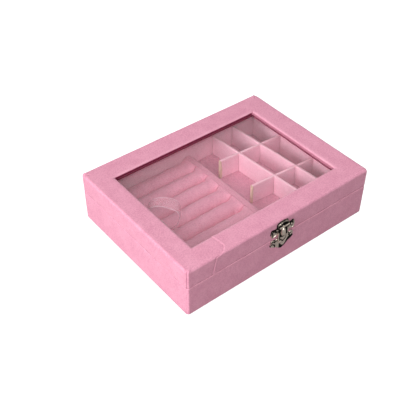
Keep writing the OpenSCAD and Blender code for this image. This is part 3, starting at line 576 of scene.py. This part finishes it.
def soft_slab(name, low, high, slot, body, seed, marks, step=2.5, edge=0.5, swell=0.07, shape=None, **kind):
    """A board covered with velvet: rings of a rounded rectangle carried along its longest side, with the
    ends drawn in, and a soft unevenness."""
    size = high - low
    axis = int(np.argmax(size))
    others = [k for k in range(3) if k != axis]
    half = size[others] / 2
    r = min(edge, half.min() * 0.98)
    inner = half - r
    turns = [arc(x * inner[0], y * inner[1], r, 90 * q, 90 * q + 90, 5)
             for q, (x, y) in enumerate(((1, 1), (-1, 1), (-1, -1), (1, -1)))]
    ring = []
    for turn_here, turn_next in zip(turns, turns[1:] + turns[:1]):
        count = max(1, int(np.linalg.norm(turn_next[0] - turn_here[-1]) / step))
        ring += [turn_here, line(*turn_here[-1], *turn_next[0], count)]
    ring = np.concatenate(ring)
    near = np.concatenate([[0.0], r - r * np.cos(np.linspace(0, math.pi / 2, 5))[1:]])
    straight = np.linspace(low[axis] + r, high[axis] - r, max(4, int(size[axis] / step)))[1:-1]
    run = np.concatenate([low[axis] + near, straight, (high[axis] - near)[::-1]])
    pull = np.minimum(1, np.minimum(run - low[axis], high[axis] - run) / r)
    shrink = r * (1 - half_round(1 - pull))
    points, centre = np.zeros((2, len(run), len(ring), 3))
    points[..., axis] = centre[..., axis] = run[:, None]
    for k, o in enumerate(others):
        middle = (low[o] + high[o]) / 2
        points[..., o] = middle + ring[:, k] * ((half[k] - shrink) / half[k])[:, None]
        centre[..., o] = middle + np.clip(ring[:, k], -inner[k], inner[k])
    points = points + unit(points - centre) * (swell * cloud(points, 12, seed))[..., None]
    if shape is not None:
        points = shape(points)
    return make_piece(name, points, slot, body, {k: f(points) for k, f in marks.items()}, **kind)


def lined_boards():
    """The four inner boards of the base, with a painted highlight along their upper edges."""
    for k, side in enumerate(("front", "back", "left", "right")):
        low, high = corners("liner_" + side)
        high[2] -= 0.05
        # Painted highlight: lighter along the upper edge.
        edge_sheen = {"rubbed": lambda points: 0.6 * smooth((points[..., 2] - high[2] + 0.9) / 0.9)}
        soft_slab("lining_" + side, low, high, "lining_velvet", "base", 40 + k, edge_sheen, look=WALL_VELVET,
                  replaces="liner_" + side)


def floor_sheet():
    """The floor pad: a closed slab whose top rises and falls a little, is drawn down round its edge, and
    has one pressed hem line along the back."""
    hem = 62.7
    low, high = corners("floor_pad")
    x = np.linspace(low[0], high[0], 150)
    y = np.sort(np.concatenate([np.linspace(low[1], high[1], 110), np.linspace(61, 64.4, 12)]))
    grid = np.stack(np.meshgrid(x, y, indexing="ij"), -1)
    edge = np.minimum(grid - low[:2], high[:2] - grid).min(-1)
    top = high[2] - 0.1 + 0.09 * cloud(with_z(grid, high[2]), 16, 51) - 0.7 * (1 - smooth(edge / 1.2))
    top = top - 0.45 * bell(grid[..., 1] - hem, 0.45) + 0.12 * bell(grid[..., 1] - hem - 1.1, 0.7)
    faces, count = grid_faces(len(x), len(y)), len(x) * len(y)
    number = np.arange(count).reshape(len(x), len(y))
    rim = np.concatenate([number[0], number[1:, -1], number[-1, -2::-1], number[-2:0:-1, 0]])
    sides = np.stack([rim, np.roll(rim, -1), np.roll(rim, -1) + count, rim + count], 1)
    points = np.concatenate([with_z(grid, top), with_z(grid, low[2] + 0.02)])
    faces = np.concatenate([faces, faces[:, ::-1] + count, sides[:, ::-1]])
    pad = make_piece("floor_velvet", points, "lining_velvet", "base", faces=faces, replaces="floor_pad")


def retainers():
    """The four strips under the pane, each a mitred velvet strip with a soft inner edge and painted shade."""
    for k, (side, shade) in enumerate((("front", 0.6), ("back", 0.74), ("left", 0.6), ("right", 0.35))):
        low, high = corners("retainer_" + side)
        along = 0 if side in ("front", "back") else 1
        across = 1 - along
        outer, inner, into = low[across], high[across], 1
        if side in ("back", "right"):
            outer, inner, into = inner, outer, -1
        z0, z1 = low[2] + 0.05, high[2] - 0.05
        r = (z1 - z0) / 2
        nose = arc(0, 0, r, -90, 90, 9)[1:-1] * (into, 1) + (inner - into * r, (z0 + z1) / 2)
        profile = np.concatenate([line(outer, z0, inner - into * r, z0, 7, True), nose,
                                  line(inner - into * r, z1, outer, z1, 7, True)])
        window = ((top_left, top_right), (top_front, top_back))[along]
        share = (profile[:, 0] - inner) / (outer - inner)
        start = window[0] + (low[along] - window[0]) * share
        end = window[1] + (high[along] - window[1]) * share
        points = np.zeros((90, len(profile), 3))
        points[..., along] = start + (end - start) * np.linspace(0, 1, 90)[:, None]
        points[..., across] = profile[:, 0]
        points[..., 2] = profile[:, 1]
        points[..., across] += into * 0.12 * cloud(points, 9, 60 + k) * bell(profile[:, 0] - inner, 2.5)
        # Painted shade: the back strip darkest, the right one lightest where the left light reaches it, and
        # each darkest at its inner edge.
        deep = shade + (1 - shade) * bell(profile[:, 0] - inner, 0.55) + 0 * points[..., 0]
        make_piece("pane_strip_" + side, points, "lining_velvet", "lid", {"deep": deep},
                   replaces="retainer_" + side)


def lid_lining():
    """The lining inside the lid's walls: a thin closed ring with round edges."""
    low, high = corners("lid_lining")
    z0, z1, t = low[2] + 0.05, high[2] - 0.05, 0.66
    r = t / 2 - 0.01
    profile = np.concatenate([line(0, z0 + r, 0, z1 - r, 3, True), arc(r, z1 - r, r, 180, 0, 7)[1:-1],
                              line(t, z1 - r, t, z0 + r, 9, True), arc(r, z0 + r, r, 0, -180, 7)[1:-1]])
    points = with_z(wall_ring(profile[:, 0], low, high, np.full(len(profile), 0.9)), profile[:, 1:])
    inside = (profile[:, 0] > t - 0.05)[:, None]
    points[..., :2] *= 1 - (0.0006 * (1 + cloud(points, 14, 70)) * inside)[..., None]
    make_piece("lid_wall_lining", points, "lining_velvet", "lid", replaces="lid_lining", loop=True)


lined_boards()
floor_sheet()
retainers()
lid_lining()

# ---- ring tray


def blown_up(name, points, faces, held, reach):
    """Cloth simulation of a padded piece: its skin, twenty times larger, is blown up a little with the
    held points fixed, for twenty frames. No point moves further than reach, in millimetres."""
    flat = np.reshape(points, (-1, 3))
    grow = 20 * MM
    mesh = bpy.data.meshes.new(name)
    mesh.from_pydata((flat * grow).tolist(), [], [list(map(int, f)) for f in faces])
    skin = add_object(name, mesh)
    skin.vertex_groups.new(name="held").add(np.flatnonzero(held).tolist(), 1.0, "REPLACE")
    settings = skin.modifiers.new("cloth", "CLOTH").settings
    for key, value in {"vertex_group_mass": "held", "use_pressure": True, "uniform_pressure_force": 4,
                       "tension_stiffness": 10, "compression_stiffness": 10, "bending_stiffness": 0.3,
                       "shrink_min": -0.03, "quality": 6}.items():
        setattr(settings, key, value)
    settings.effector_weights.gravity = 0
    for step in range(1, 21):
        bpy.context.scene.frame_set(step)
    done = skin.evaluated_get(bpy.context.evaluated_depsgraph_get()).data
    after = np.empty(len(flat) * 3)
    done.vertices.foreach_get("co", after)
    bpy.context.scene.frame_set(1)
    bpy.data.objects.remove(skin)
    move = after.reshape(-1, 3) / grow - flat
    size = np.linalg.norm(move, axis=1, keepdims=True)
    move = move * np.minimum(1, reach / np.maximum(size, 1e-9))
    return (flat + move).reshape(np.shape(points))


def tray_rails():
    """The two rails beside the rolls, velvet over board down to the floor of the tray."""
    for k, side in enumerate(("left", "right")):
        low, high = corners(f"tray_{side}_rail")
        low[2] = corners("tray_board")[0][2]
        into = high[0] if side == "left" else low[0]

        def fill_edge(points):
            """Lifts the rounded edge beside the rolls to the rail's full height, so that both join."""
            near = bell(points[..., 0] - into, 1.2) * smooth((points[..., 2] - high[2] + 1.6) / 0.8)
            points[..., 2] += near * (high[2] + 0.02 - points[..., 2])
            return points

        # Painted highlight along each rail's upper right edge.
        def rubbed(points):
            return 0.5 * smooth((points[..., 2] - high[2] + 0.8) / 0.8) * bell(points[..., 0] - high[0], 1.0)

        # An even tenth of the deep tone makes each rail's velvet a little darker all over.
        marks = {"rubbed": rubbed, "deep": lambda points: 0.1 + 0 * points[..., 0]}
        rail = soft_slab(f"tray_{side}_rail_velvet", low, high, "tray_velvet", "ring_tray", 80 + k, marks,
                         step=1.6, edge=0.8, swell=0.12, shape=fill_edge, replaces=f"tray_{side}_rail")


def roll_points(low, high, rows=72):
    """A roll: rings along X of a flat underside, upright sides and half an ellipse for a crown. Its crown
    gets flatter over the last 8 mm, so that the valleys beside it rise to the rail there."""
    half, middle = (high[1] - low[1]) / 2, (high[1] + low[1]) / 2
    crown = min(half, high[2] - low[2] - 1.2)
    shoulder = high[2] - crown
    u = (1 - np.cos(np.linspace(0, math.pi, rows))) / 2
    x = low[0] + (high[0] - low[0]) * (0.45 * u + 0.55 * np.linspace(0, 1, rows))
    near = np.minimum(x - low[0], high[0] - x)
    rise = (crown * (1 - 0.88 * (1 - smooth(near / 8)) ** 1.5))[:, None]
    a = np.radians(np.linspace(0, 180, 31))
    dome = np.stack([half * np.cos(a) + 0 * rise, high[2] - rise * (1 - np.sin(a))], -1)
    foot = np.concatenate([line(-half, shoulder, -half, low[2], 2),
                           line(-half, low[2], half, low[2], 7, True), line(half, low[2], half, shoulder, 2)])
    ring = np.concatenate([dome, np.broadcast_to(foot, (rows,) + foot.shape)], 1)
    return np.stack([np.broadcast_to(x[:, None], ring.shape[:2]), ring[..., 0] + middle, ring[..., 1]], -1)


def ring_rolls():
    """Eight foam rolls. Velvet round foam is blown up by cloth simulation, held at the underside and the
    ends, kept within the pitch of the rolls and faded out towards the ends."""
    count = sum(1 for n in frame["nodes"] if n.startswith("ring_roll_"))
    tray_low, tray_high = corners("tray_board")
    pitch, gap, reach = (tray_high[1] - tray_low[1]) / count, 0.3, 0.35
    for k in range(1, count + 1):
        low, high = corners(f"ring_roll_{k}")
        middle = (low[1] + high[1]) / 2
        low[1], high[1] = middle - pitch / 2 + gap, middle + pitch / 2 - gap
        points = roll_points(low, high)
        faces = sweep_faces(*points.shape[:2])
        from_left, from_right, up = points[..., 0] - low[0], high[0] - points[..., 0], points[..., 2] - low[2]
        free = smooth((up - 1) / 3) * smooth(from_left / 3) * smooth(from_right / 3)
        held = (up < 1.5) | (free < 0.02)
        fade = smooth(from_left / 9) * smooth(from_right / 9)
        points[..., 2] += (0.14 * cloud(points, 13, 90 + k) - 0.1) * free
        points = points + (blown_up(f"roll_skin_{k}", points, faces, held, reach) - points) * fade[..., None]
        room = pitch / 2 - 0.04
        points[..., 1:] = np.clip(points[..., 1:], (middle - room, low[2]), (middle + room, high[2] + 0.2))
        # Painted shade low down between the rolls.
        valley_shade = 0.25 * smooth((high[2] - 6 - points[..., 2]) / 3)
        roll = make_piece(f"ring_roll_velvet_{k}", points, "tray_velvet", "ring_tray", {"deep": valley_shade},
                          faces, f"ring_roll_{k}")


def lift_loop():
    """A ribbon that leaves the middle slot, twists, opens into a drop and comes back down: the middle
    line goes round once, its opening is sin(t) sin(t/2), the ribbon turns as it rises, and past its top
    it leans towards the near left by a bell of t."""
    low = corners("tray_board")[1][2] + 0.1
    rise = corners("lift_loop")[1][2] - low
    x0, half, thick, wide_mm, slot = -67.5, 14.0, 0.16, 11.0, 8.14
    straight = slot * 0.85
    t = np.linspace(0, 2 * math.pi, 150)
    up = (1 - np.cos(t)) / 2
    free = smooth(up * 1.15 - 0.15)
    z = low + straight + (rise - straight) * up
    turned = np.radians(48 * smooth((z - low - slot) / (rise * 0.4)))
    out = half * np.sin(t) * np.sin(t / 2) / 0.77 * smooth(up * 3) + 0.3 * np.sign(math.pi - t) * (1 - free)
    path = np.stack([x0 + 6 * free + out * np.sin(turned), 7 * free - out * np.cos(turned), z], 1)
    feet = [np.array([[x0, s * 0.3, low], [x0, s * 0.3, low + straight * 0.5]]) for s in (-1, 1)]
    path = np.concatenate([feet[0], path, feet[1][::-1]])
    turned = np.pad(turned, 2)
    tilt = np.radians(np.pad(15 * bell(t - 2.75, 0.55), 2))[:, None]
    wide = np.stack([np.cos(turned), np.sin(turned), 0 * turned], 1)
    thin = unit(np.cross(wide, np.gradient(path, axis=0)))
    across = np.linspace(-1, 1, 15)
    path = path - thin * wide_mm / 2 * np.sin(tilt)
    wide, thin = np.cos(tilt) * wide + np.sin(tilt) * thin, np.cos(tilt) * thin - np.sin(tilt) * wide
    bow = 0.35 * (1 - across ** 2) + thick / 2
    front = path[:, None] + wide[:, None] * (across * wide_mm / 2)[:, None] + thin[:, None] * bow[:, None]
    points = np.concatenate([front, (front - thin[:, None] * thick)[:, ::-1]], 1)
    loop = make_piece("lift_ribbon", points, "ribbon", "ring_tray", replaces="lift_loop")
    run = np.concatenate([[0], np.cumsum(np.linalg.norm(np.diff(path, axis=0), axis=1))])
    share = np.concatenate([np.linspace(0, 1, 15), np.linspace(1, 0, 15)])
    uv = np.stack(np.broadcast_arrays(share[None, :], run[:, None] / wide_mm), -1).reshape(-1, 2)
    layer = loop.data.uv_layers.new(name="ribbon")
    index = np.zeros(len(loop.data.loops), np.int32)
    loop.data.loops.foreach_get("vertex_index", index)
    layer.data.foreach_set("uv", uv[index].ravel())
    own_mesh(loop)


tray_rails()
ring_rolls()
lift_loop()

# ---- divider grid

HALF_T, COVER, CORE_IN = 1.2, 0.22, 0.24  # half a divider, its velvet, and how far inside its core lies
SLOT_HALF, PLAY = 1.58, 0.15  # half a cut's width, and how far a cut goes past the middle height


def divider_sweep(name, stations, half_t, slot, hollow=0.0, marks=None, flare=0.0, replaces=None):
    """A board on edge along a line: at each station (x, y, lower height, upper height) one ring. With a
    hollow the ring is a folded cover round a core, open at the bottom. A flare is half the thickness
    that the board's first end spreads to."""
    r = min(0.7, half_t * 0.8)
    right = [(half_t, s, 0.0) for s in (0.0, 0.25, 0.5, 0.75)]
    right += [(half_t + x, 1.0, z) for x, z in arc(-r, -r, r, 0, 90, 5)]
    ring = right + [(-a, b, c) for a, b, c in right[::-1]]
    if hollow:
        inner = half_t - hollow
        ring += [(-inner, 0.0, 0.0), (-inner, 1.0, -hollow), (inner, 1.0, -hollow), (inner, 0.0, 0.0)]
    out, up, above = np.array(ring).T
    stations = np.array(stations, float)
    ahead = unit(stations[-1, :2] - stations[0, :2])
    normal = np.array((-ahead[1], ahead[0]))
    points = with_z(stations[:, None, :2] + normal * out[:, None],
                    stations[:, 2:3] * (1 - up) + stations[:, 3:] * up + above)
    points[..., :2] += normal * (0.09 * cloud(points, 14, 100 + int(abs(stations[0, 0]))))[..., None]
    if flare:
        points[:2, :, :2] += normal * (out * (flare / half_t - 1))[:, None]
    values = {key: mark(points) for key, mark in (marks or {}).items()}
    make_piece(name, points, slot, "divider_grid", values, sharp=40, replaces=replaces)


def dividers():
    """Four boards halved into each other: long ones are cut from below, cross ones from above."""
    low, high = corners("long_divider_left")
    z0, z1 = low[2], high[2]
    middle = (z0 + z1) / 2
    lean_long, lean_cross = math.radians(4.5), math.radians(4.3)
    long_x, cross_y = {"left": 48.5, "right": 73.5}, {"back": 33.225, "front": -11.775}
    cross_x0, cross_x1 = 24.0, corners("cross_divider_back")[1][0]
    cross_mid = (cross_x0 + cross_x1) / 2
    # Painted highlight along the dividers' top edges.
    edge_sheen = {"rubbed": lambda points: 0.75 * smooth((points[..., 2] - z1 + 1.0) / 0.9)}

    def meet(x, y):
        """Where a long and a cross divider's middle lines meet."""
        k = math.tan(lean_long) * math.tan(lean_cross)
        px = (x - y * math.tan(lean_long) - cross_mid * k) / (1 - k)
        return px, y - (px - cross_mid) * math.tan(lean_cross)

    def board(name, centre, ahead, length, crossings, cut_low, bare=0.0, flare=0.0):
        """A divider with a station every 3 mm and a step down or up at both sides of each cut: a velvet
        cover, and a lower core that stands out of the cover's first end by a bare length."""
        start = np.array(centre) - np.array(ahead) * length / 2
        cuts = [float((np.array(place) - start) @ ahead) for place in crossings]
        plain = [(s, False) for s in np.linspace(0, length, int(length / 3))
                 if all(abs(s - c) > SLOT_HALF + 0.4 for c in cuts)]
        for c in cuts:
            plain += [(c + off, abs(off) <= SLOT_HALF)
                      for off in (-SLOT_HALF - 0.02, -SLOT_HALF, 0, SLOT_HALF, SLOT_HALF + 0.02)]
        run = [(*(start + np.array(ahead) * s), middle + PLAY if cut and cut_low else z0,
                middle - PLAY if cut and not cut_low else z1) for s, cut in sorted(plain)]
        divider_sweep(name + "_velvet", run, HALF_T, "divider_velvet", COVER, edge_sheen, replaces=name)
        core = [(x, y, lower, upper - CORE_IN) for x, y, lower, upper in run]
        if bare:
            core.insert(0, (*(start - np.array(ahead) * bare), *core[0][2:]))
        divider_sweep(name + "_core", core, HALF_T - CORE_IN, "board", flare=flare)

    for side, x in long_x.items():
        length = (high[1] - 0.3 - HALF_T * math.sin(lean_long)) * 2 / math.cos(lean_long)
        board(f"long_divider_{side}", (x, 0.0), (-math.sin(lean_long), math.cos(lean_long)), length,
              [meet(x, y) for y in cross_y.values()], cut_low=True)
    for side, y in cross_y.items():
        length = (cross_x1 - cross_x0) / math.cos(lean_cross)
        board(f"cross_divider_{side}", (cross_mid, y), (math.cos(lean_cross), -math.sin(lean_cross)), length,
              [meet(x, y) for x in long_x.values()], cut_low=False, bare=0.45, flare=1.35)


dividers()

# ---- latch

latch_x = (corners("latch_hasp")[0][0] + corners("latch_hasp")[1][0]) / 2


def stamped(name, node, body, trim, edges, front, count=150, rows=60):
    """A stamped sheet in place of a node, narrower by a trim at each side: at each station across it a
    ring that goes up the front, whose depth is a function of place, and down the back. Edges gives the
    heights of its lower and upper edge, above the node's foot, from how far out a station is, 0 to 1."""
    low, high = corners(node)
    half = (high[0] - low[0]) / 2 - trim
    x = np.linspace(-half, half, count)[:, None]
    bottom, top = edges(np.abs(x) / half, high[2] - low[2])
    t = np.concatenate([[0, 0.006, 0.02], np.linspace(0.05, 0.95, rows), [0.98, 0.994, 1]])
    up = bottom + (top - bottom) * t
    wide = np.broadcast_to(x, up.shape)
    rim = np.min((up - bottom, top - up, wide + half, half - wide), 0)
    depth, tarnish_and_shade = front(wide, np.abs(wide), up, rim)
    out = high[1] - 0.15 - (depth - 0.15) * half_round(1 - np.clip(rim / 0.45, 0, 1))
    face, rear = (np.stack([wide + latch_x, y, up + low[2]], -1) for y in (out, np.full_like(up, high[1])))
    recess = np.concatenate([tarnish_and_shade, np.full_like(up, 0.22)], 1)
    make_piece(name, np.concatenate([face, rear[:, ::-1]], 1), "latch_metal", body, {"recess": recess},
               replaces=node, sharp=65)


def groove(distance, width):
    """A narrow channel: a bell of a width, and the patina and painted shade that lie in it."""
    cut = bell(distance, width)
    return cut, 0.75 * cut


def upper_plate():
    """The plate on the lid: an arch in the middle between two wings with pointed corners, a raised
    border, leaf-like channels on the wings and a deep crease round the hasp's nose. The crease under the arch
    and the arch itself carry painted shade."""
    def edges(a, high):
        arch = np.where(a < 0.47, high - 2.4 + 2.4 * half_round(a / 0.47), 0)
        wing = high - 5.9 + 0.9 * bell(a - 0.84, 0.16) - 4.6 * smooth((a - 0.88) / 0.12) ** 2
        bottom = 1.1 * (1 - smooth((a - 0.5) / 0.25)) + 4.6 * smooth((a - 0.84) / 0.16) ** 2
        return bottom + 0.02, np.maximum(arch, wing) - 0.02

    def front(wide, side, up, rim):
        ring = np.hypot(wide, (up - 6.4) * 0.86) - 6.3
        over = smooth((up - 3) / 2)
        out_there = smooth(side - 7)
        cut1, dirt1 = groove(ring + 1.8, 1.0)
        cut2, dirt2 = groove(side - 9.6 - 1.3 * np.sin(up * 0.75), 0.75)
        cut3, dirt3 = groove(up - 7.6 - 0.45 * (side - 8), 0.65)
        depth = 0.85 + 0.45 * bell(rim - 0.7, 0.5) + 0.9 * bell(ring, 0.85) * over
        depth = depth - 0.4 * cut1 - 0.4 * cut2 * out_there - 0.35 * cut3 * out_there
        # The crease under the arch and the plate inside the arch's ring are dark with patina and painted
        # shade.
        tarnish_and_shade = 1.4 * dirt1 + 0.8 * (dirt2 + dirt3) * out_there + 0.5 * (ring < -1.7)
        tarnish_and_shade = tarnish_and_shade + bell(np.hypot(side - 10.2, up - 7.3), 1.0) + 0.15 * smooth(1 - rim / 0.5)
        # Painted shade on the arch, strongest on its left.
        tarnish_and_shade = tarnish_and_shade + (0.3 + 0.15 * smooth((-wide - 1.5) / 3)) * smooth((ring + 0.9) / 0.5) * over
        return depth, np.clip(tarnish_and_shade - 0.4 * bell(rim - 0.9, 0.4), 0, 1.4)

    stamped("latch_plate_upper", "latch_upper_plate", "lid", 0.05, edges, front)


def lower_plate():
    """The plate on the base: wings with a raised border whose lower edge falls to a point, with the hasp's
    shadow painted on its middle.
    """
    def edges(a, high):
        return (7.6 * a ** 1.15 + 0.8 * bell(a - 0.5, 0.12) - 0.02 * a,
                high - 0.9 * bell(a - 0.55, 0.12) - 4.2 * smooth((a - 0.88) / 0.12) ** 2 - 0.02)

    def front(wide, side, up, rim):
        cut1, dirt1 = groove(side - 8.4 - 1.0 * np.sin(up * 0.8), 0.75)
        cut2, dirt2 = groove(up - 10.4 + 0.35 * (side - 8), 0.65)
        depth = 0.7 + 0.3 * bell(rim - 0.6, 0.5) - 0.3 * (cut1 + cut2)
        # Painted shadow of the hasp: the middle under its tip is darker, black to the lower right of its
        # point.
        tarnish_and_shade = 1.2 * (dirt1 + dirt2) + 0.5 * (side < 6.8) * (wide > -3) + 0.25 * smooth(1 - rim / 0.5)
        under = smooth((wide + 2.5) / 1.6) * smooth((9.5 - up) / 2.5)
        return depth, np.clip(tarnish_and_shade - 0.3 * bell(rim - 0.9, 0.4) + 1.5 * under, 0, 1.6)

    stamped("latch_plate_lower", "latch_lower_plate", "base", 0.05, edges, front)


def hasp():
    """The hasp: a plate that is widest in the middle and ends in a point, with a long domed nose under
    the hinge, a turned-out lip round it, and a channel cut as a chevron above its tip."""
    low, high = corners("latch_hasp")
    most = high[1] - low[1] - 0.06
    nose_half, nose_up = 3.3, 17.3

    def edges(a, high):
        return 2.0 + 0.35 * a + 7.2 * a ** 1.5 + 0.02, high - 6.5 * a ** 2.6 - 0.02

    def front(wide, side, up, rim):
        body = half_round(side / 4.4) * smooth((up - 5) / 3)
        climb = np.where(up > nose_up, (up - nose_up) / 7.4, (nose_up - up) / 4.6)
        off_nose = np.hypot(side / nose_half, climb)
        nose = half_round(side / nose_half) * np.clip(1.1 - np.sqrt(climb ** 2 + 0.02), 0, 1)
        cut1, dirt1 = groove(up - 6.9 - np.where(wide < 0, 1.0, 0.5) * side, 0.65)
        cut1, dirt1 = cut1 * (side < 3.9), dirt1 * (side < 3.9)
        cut2, dirt2 = groove(np.where(up > 8, side - 3.7 - 0.06 * (up - 12), 9), 0.5)
        crease, dirt3 = groove(off_nose - 1.12, 0.16)
        pit = bell(np.hypot(side - 3.0, up - 13.4), 1.2)
        depth = 0.9 - 0.5 * smooth((up - 21) / 3) * (side < 3) + 0.4 * bell(rim - 0.6, 0.45) + 0.2 * body
        depth = depth + 3.2 * nose * smooth((1.05 - off_nose) / 0.12)
        depth = depth - 0.8 * cut1 - 0.4 * cut2 - 0.45 * crease - 0.3 * pit
        # Painted shade: the nose's right flank, the right of its top edge and a spot at the left shoulder.
        shaded = 1.1 * smooth((wide + 0.5) / 0.9) * (off_nose < 1.1) * smooth((up - 15.5) / 2)
        shaded = shaded + 0.8 * smooth((wide - 0.3) / 0.8) * smooth((up - 21.5) / 1.5)
        shaded = shaded + 1.2 * bell(np.hypot(wide + 5.2, (up - 20.5) / 1.4), 1.1)
        # The chevron and the crease round the nose are dark with patina and painted shade; the nose's left
        # half is cleared of tarnish, a painted highlight as well as polish.
        tarnish_and_shade = 1.8 * dirt1 + 0.6 * dirt2 + 1.0 * dirt3 + 0.9 * pit + shaded - 0.5 * nose * (wide < 0.2)
        return np.minimum(depth, most), np.clip(tarnish_and_shade, 0, 1.4)

    stamped("latch_hasp_plate", "latch_hasp", "hasp", 0.03, edges, front, count=90, rows=90)


def nails():
    """Round-headed nails: a dome of revolution about Y over a short neck."""
    bodies = frame["record"]["behaviour"]["bodies"]
    for name in sorted(n for n in frame["nodes"] if "nail" in n):
        low, high = corners(name)
        body = next(b for b, nodes in bodies.items() if name in nodes)
        r = (high[2] - low[2]) / 2
        a = np.linspace(0.06, math.pi / 2, 8)
        radius = np.concatenate([r * np.sin(a), [0.45 * r, 0.45 * r, 0.05]])[:, None]
        thick = high[1] - low[1]
        deep = np.concatenate([0.75 * (1 - np.cos(a)), [0.95, thick - 0.6, thick]])[:, None]
        around = np.linspace(0, 2 * math.pi, 25)[:-1]
        points = np.stack([[x + radius * np.cos(around), low[1] + deep + 0 * around,
                            low[2] + r + radius * np.sin(around)] for x in (low[0] + r, high[0] - r)])
        points = np.moveaxis(points, 1, -1)
        count = radius.size * around.size
        faces = [[k + more for k in face] for more in (0, count)
                 for face in sweep_faces(radius.size, around.size)]
        tarnish_and_shade = np.broadcast_to(smooth((radius / r - 0.7) / 0.3), points.shape[:3])
        make_piece(name + "_heads", points, "latch_metal", body, {"recess": tarnish_and_shade}, faces, name)


upper_plate()
lower_plate()
hasp()
nails()

# ---- finishes of the model's own nodes

slot_of = {part["node"]: part["material_slot"] for part in frame["record"]["subparts"]}
for name, node in frame["nodes"].items():
    node.data.materials.clear()
    node.data.materials.append(LOOKS[slot_of[name]])

# ---- floor and light


def seen_directly(tree):
    """1 for rays from the camera, also through the pane, and 0 for light that shines on the case."""
    path = put(tree, "LightPath").outputs
    return maths(tree, "MAXIMUM", path["Is Camera Ray"], path["Is Transmission Ray"])


def soft_light(name, place, aim_z, size, power):
    """A square area light at a place, turned so that it shines at a height on the middle line; the pane
    doesn't show it."""
    light = bpy.data.lights.new(name, "AREA")
    light.shape = "RECTANGLE"
    light.size, light.size_y = size
    light.energy = power
    light.color = (1.0, 0.99, 0.985)
    lamp = add_object(name, light)
    lamp.location = place
    lamp.rotation_euler = Vector((-place[0], -place[1], aim_z - place[2])).to_track_quat("-Z", "Y").to_euler()
    lamp.visible_transmission = False
    return lamp


floor_mesh = bpy.data.meshes.new("floor")
floor_z, floor_half = -0.0002, 3
square = ((-1, -1), (1, -1), (1, 1), (-1, 1))
floor_mesh.from_pydata([(x * floor_half, y * floor_half, floor_z) for x, y in square], [], [(0, 1, 2, 3)])
add_object("floor", floor_mesh)
white, tree = blank("pale floor")
shader = put(tree, "BsdfPrincipled", Base_Color=(0.3, 0.3, 0.3), Roughness=0.9, Specular_IOR_Level=0.1,
             Emission_Color=(1, 1, 1), Emission_Strength=seen_directly(tree))
put(tree, "OutputMaterial", Surface=shader.outputs[0])
floor_mesh.materials.append(white)

world = bpy.data.worlds.new("studio")
bpy.context.scene.world = world
world.use_nodes = True
tree = world.node_tree
tree.nodes.clear()
height = put(tree, "SeparateXYZ", Vector=put(tree, "TexCoord").outputs["Generated"]).outputs["Z"]
sky = maths(tree, "MAXIMUM", ramp(tree, height, 0.3, 0.9, 0.0, 0.78), seen_directly(tree))
mirrored = maths(tree, "MULTIPLY", put(tree, "LightPath").outputs["Is Glossy Ray"], 0.25)
lit = put(tree, "Background", Color=(1, 1, 1), Strength=maths(tree, "MAXIMUM", sky, mirrored))
put(tree, "OutputWorld", Surface=lit.outputs[0])

left_box = soft_light("left softbox", (-1.58, -0.1, 0.56), 0.02, (1.1, 1.1), 27)
left_box.visible_glossy = False  # the pane, seen from the right, would mirror it whole
catch_light = soft_light("latch catch light", (-0.1, -2.2, 0.5), 0.03, (1.0, 0.8), 5.0)
catch_light.light_linking.receiver_collection = bpy.data.collections.new("latch metal pieces")
for piece in [obj for obj in bpy.data.objects if obj.name.startswith("latch_")]:
    catch_light.light_linking.receiver_collection.objects.link(piece)
soft_light("front left softbox", (-0.7, -1.0, 1.1), 0.02, (1.0, 1.0), 10.4)
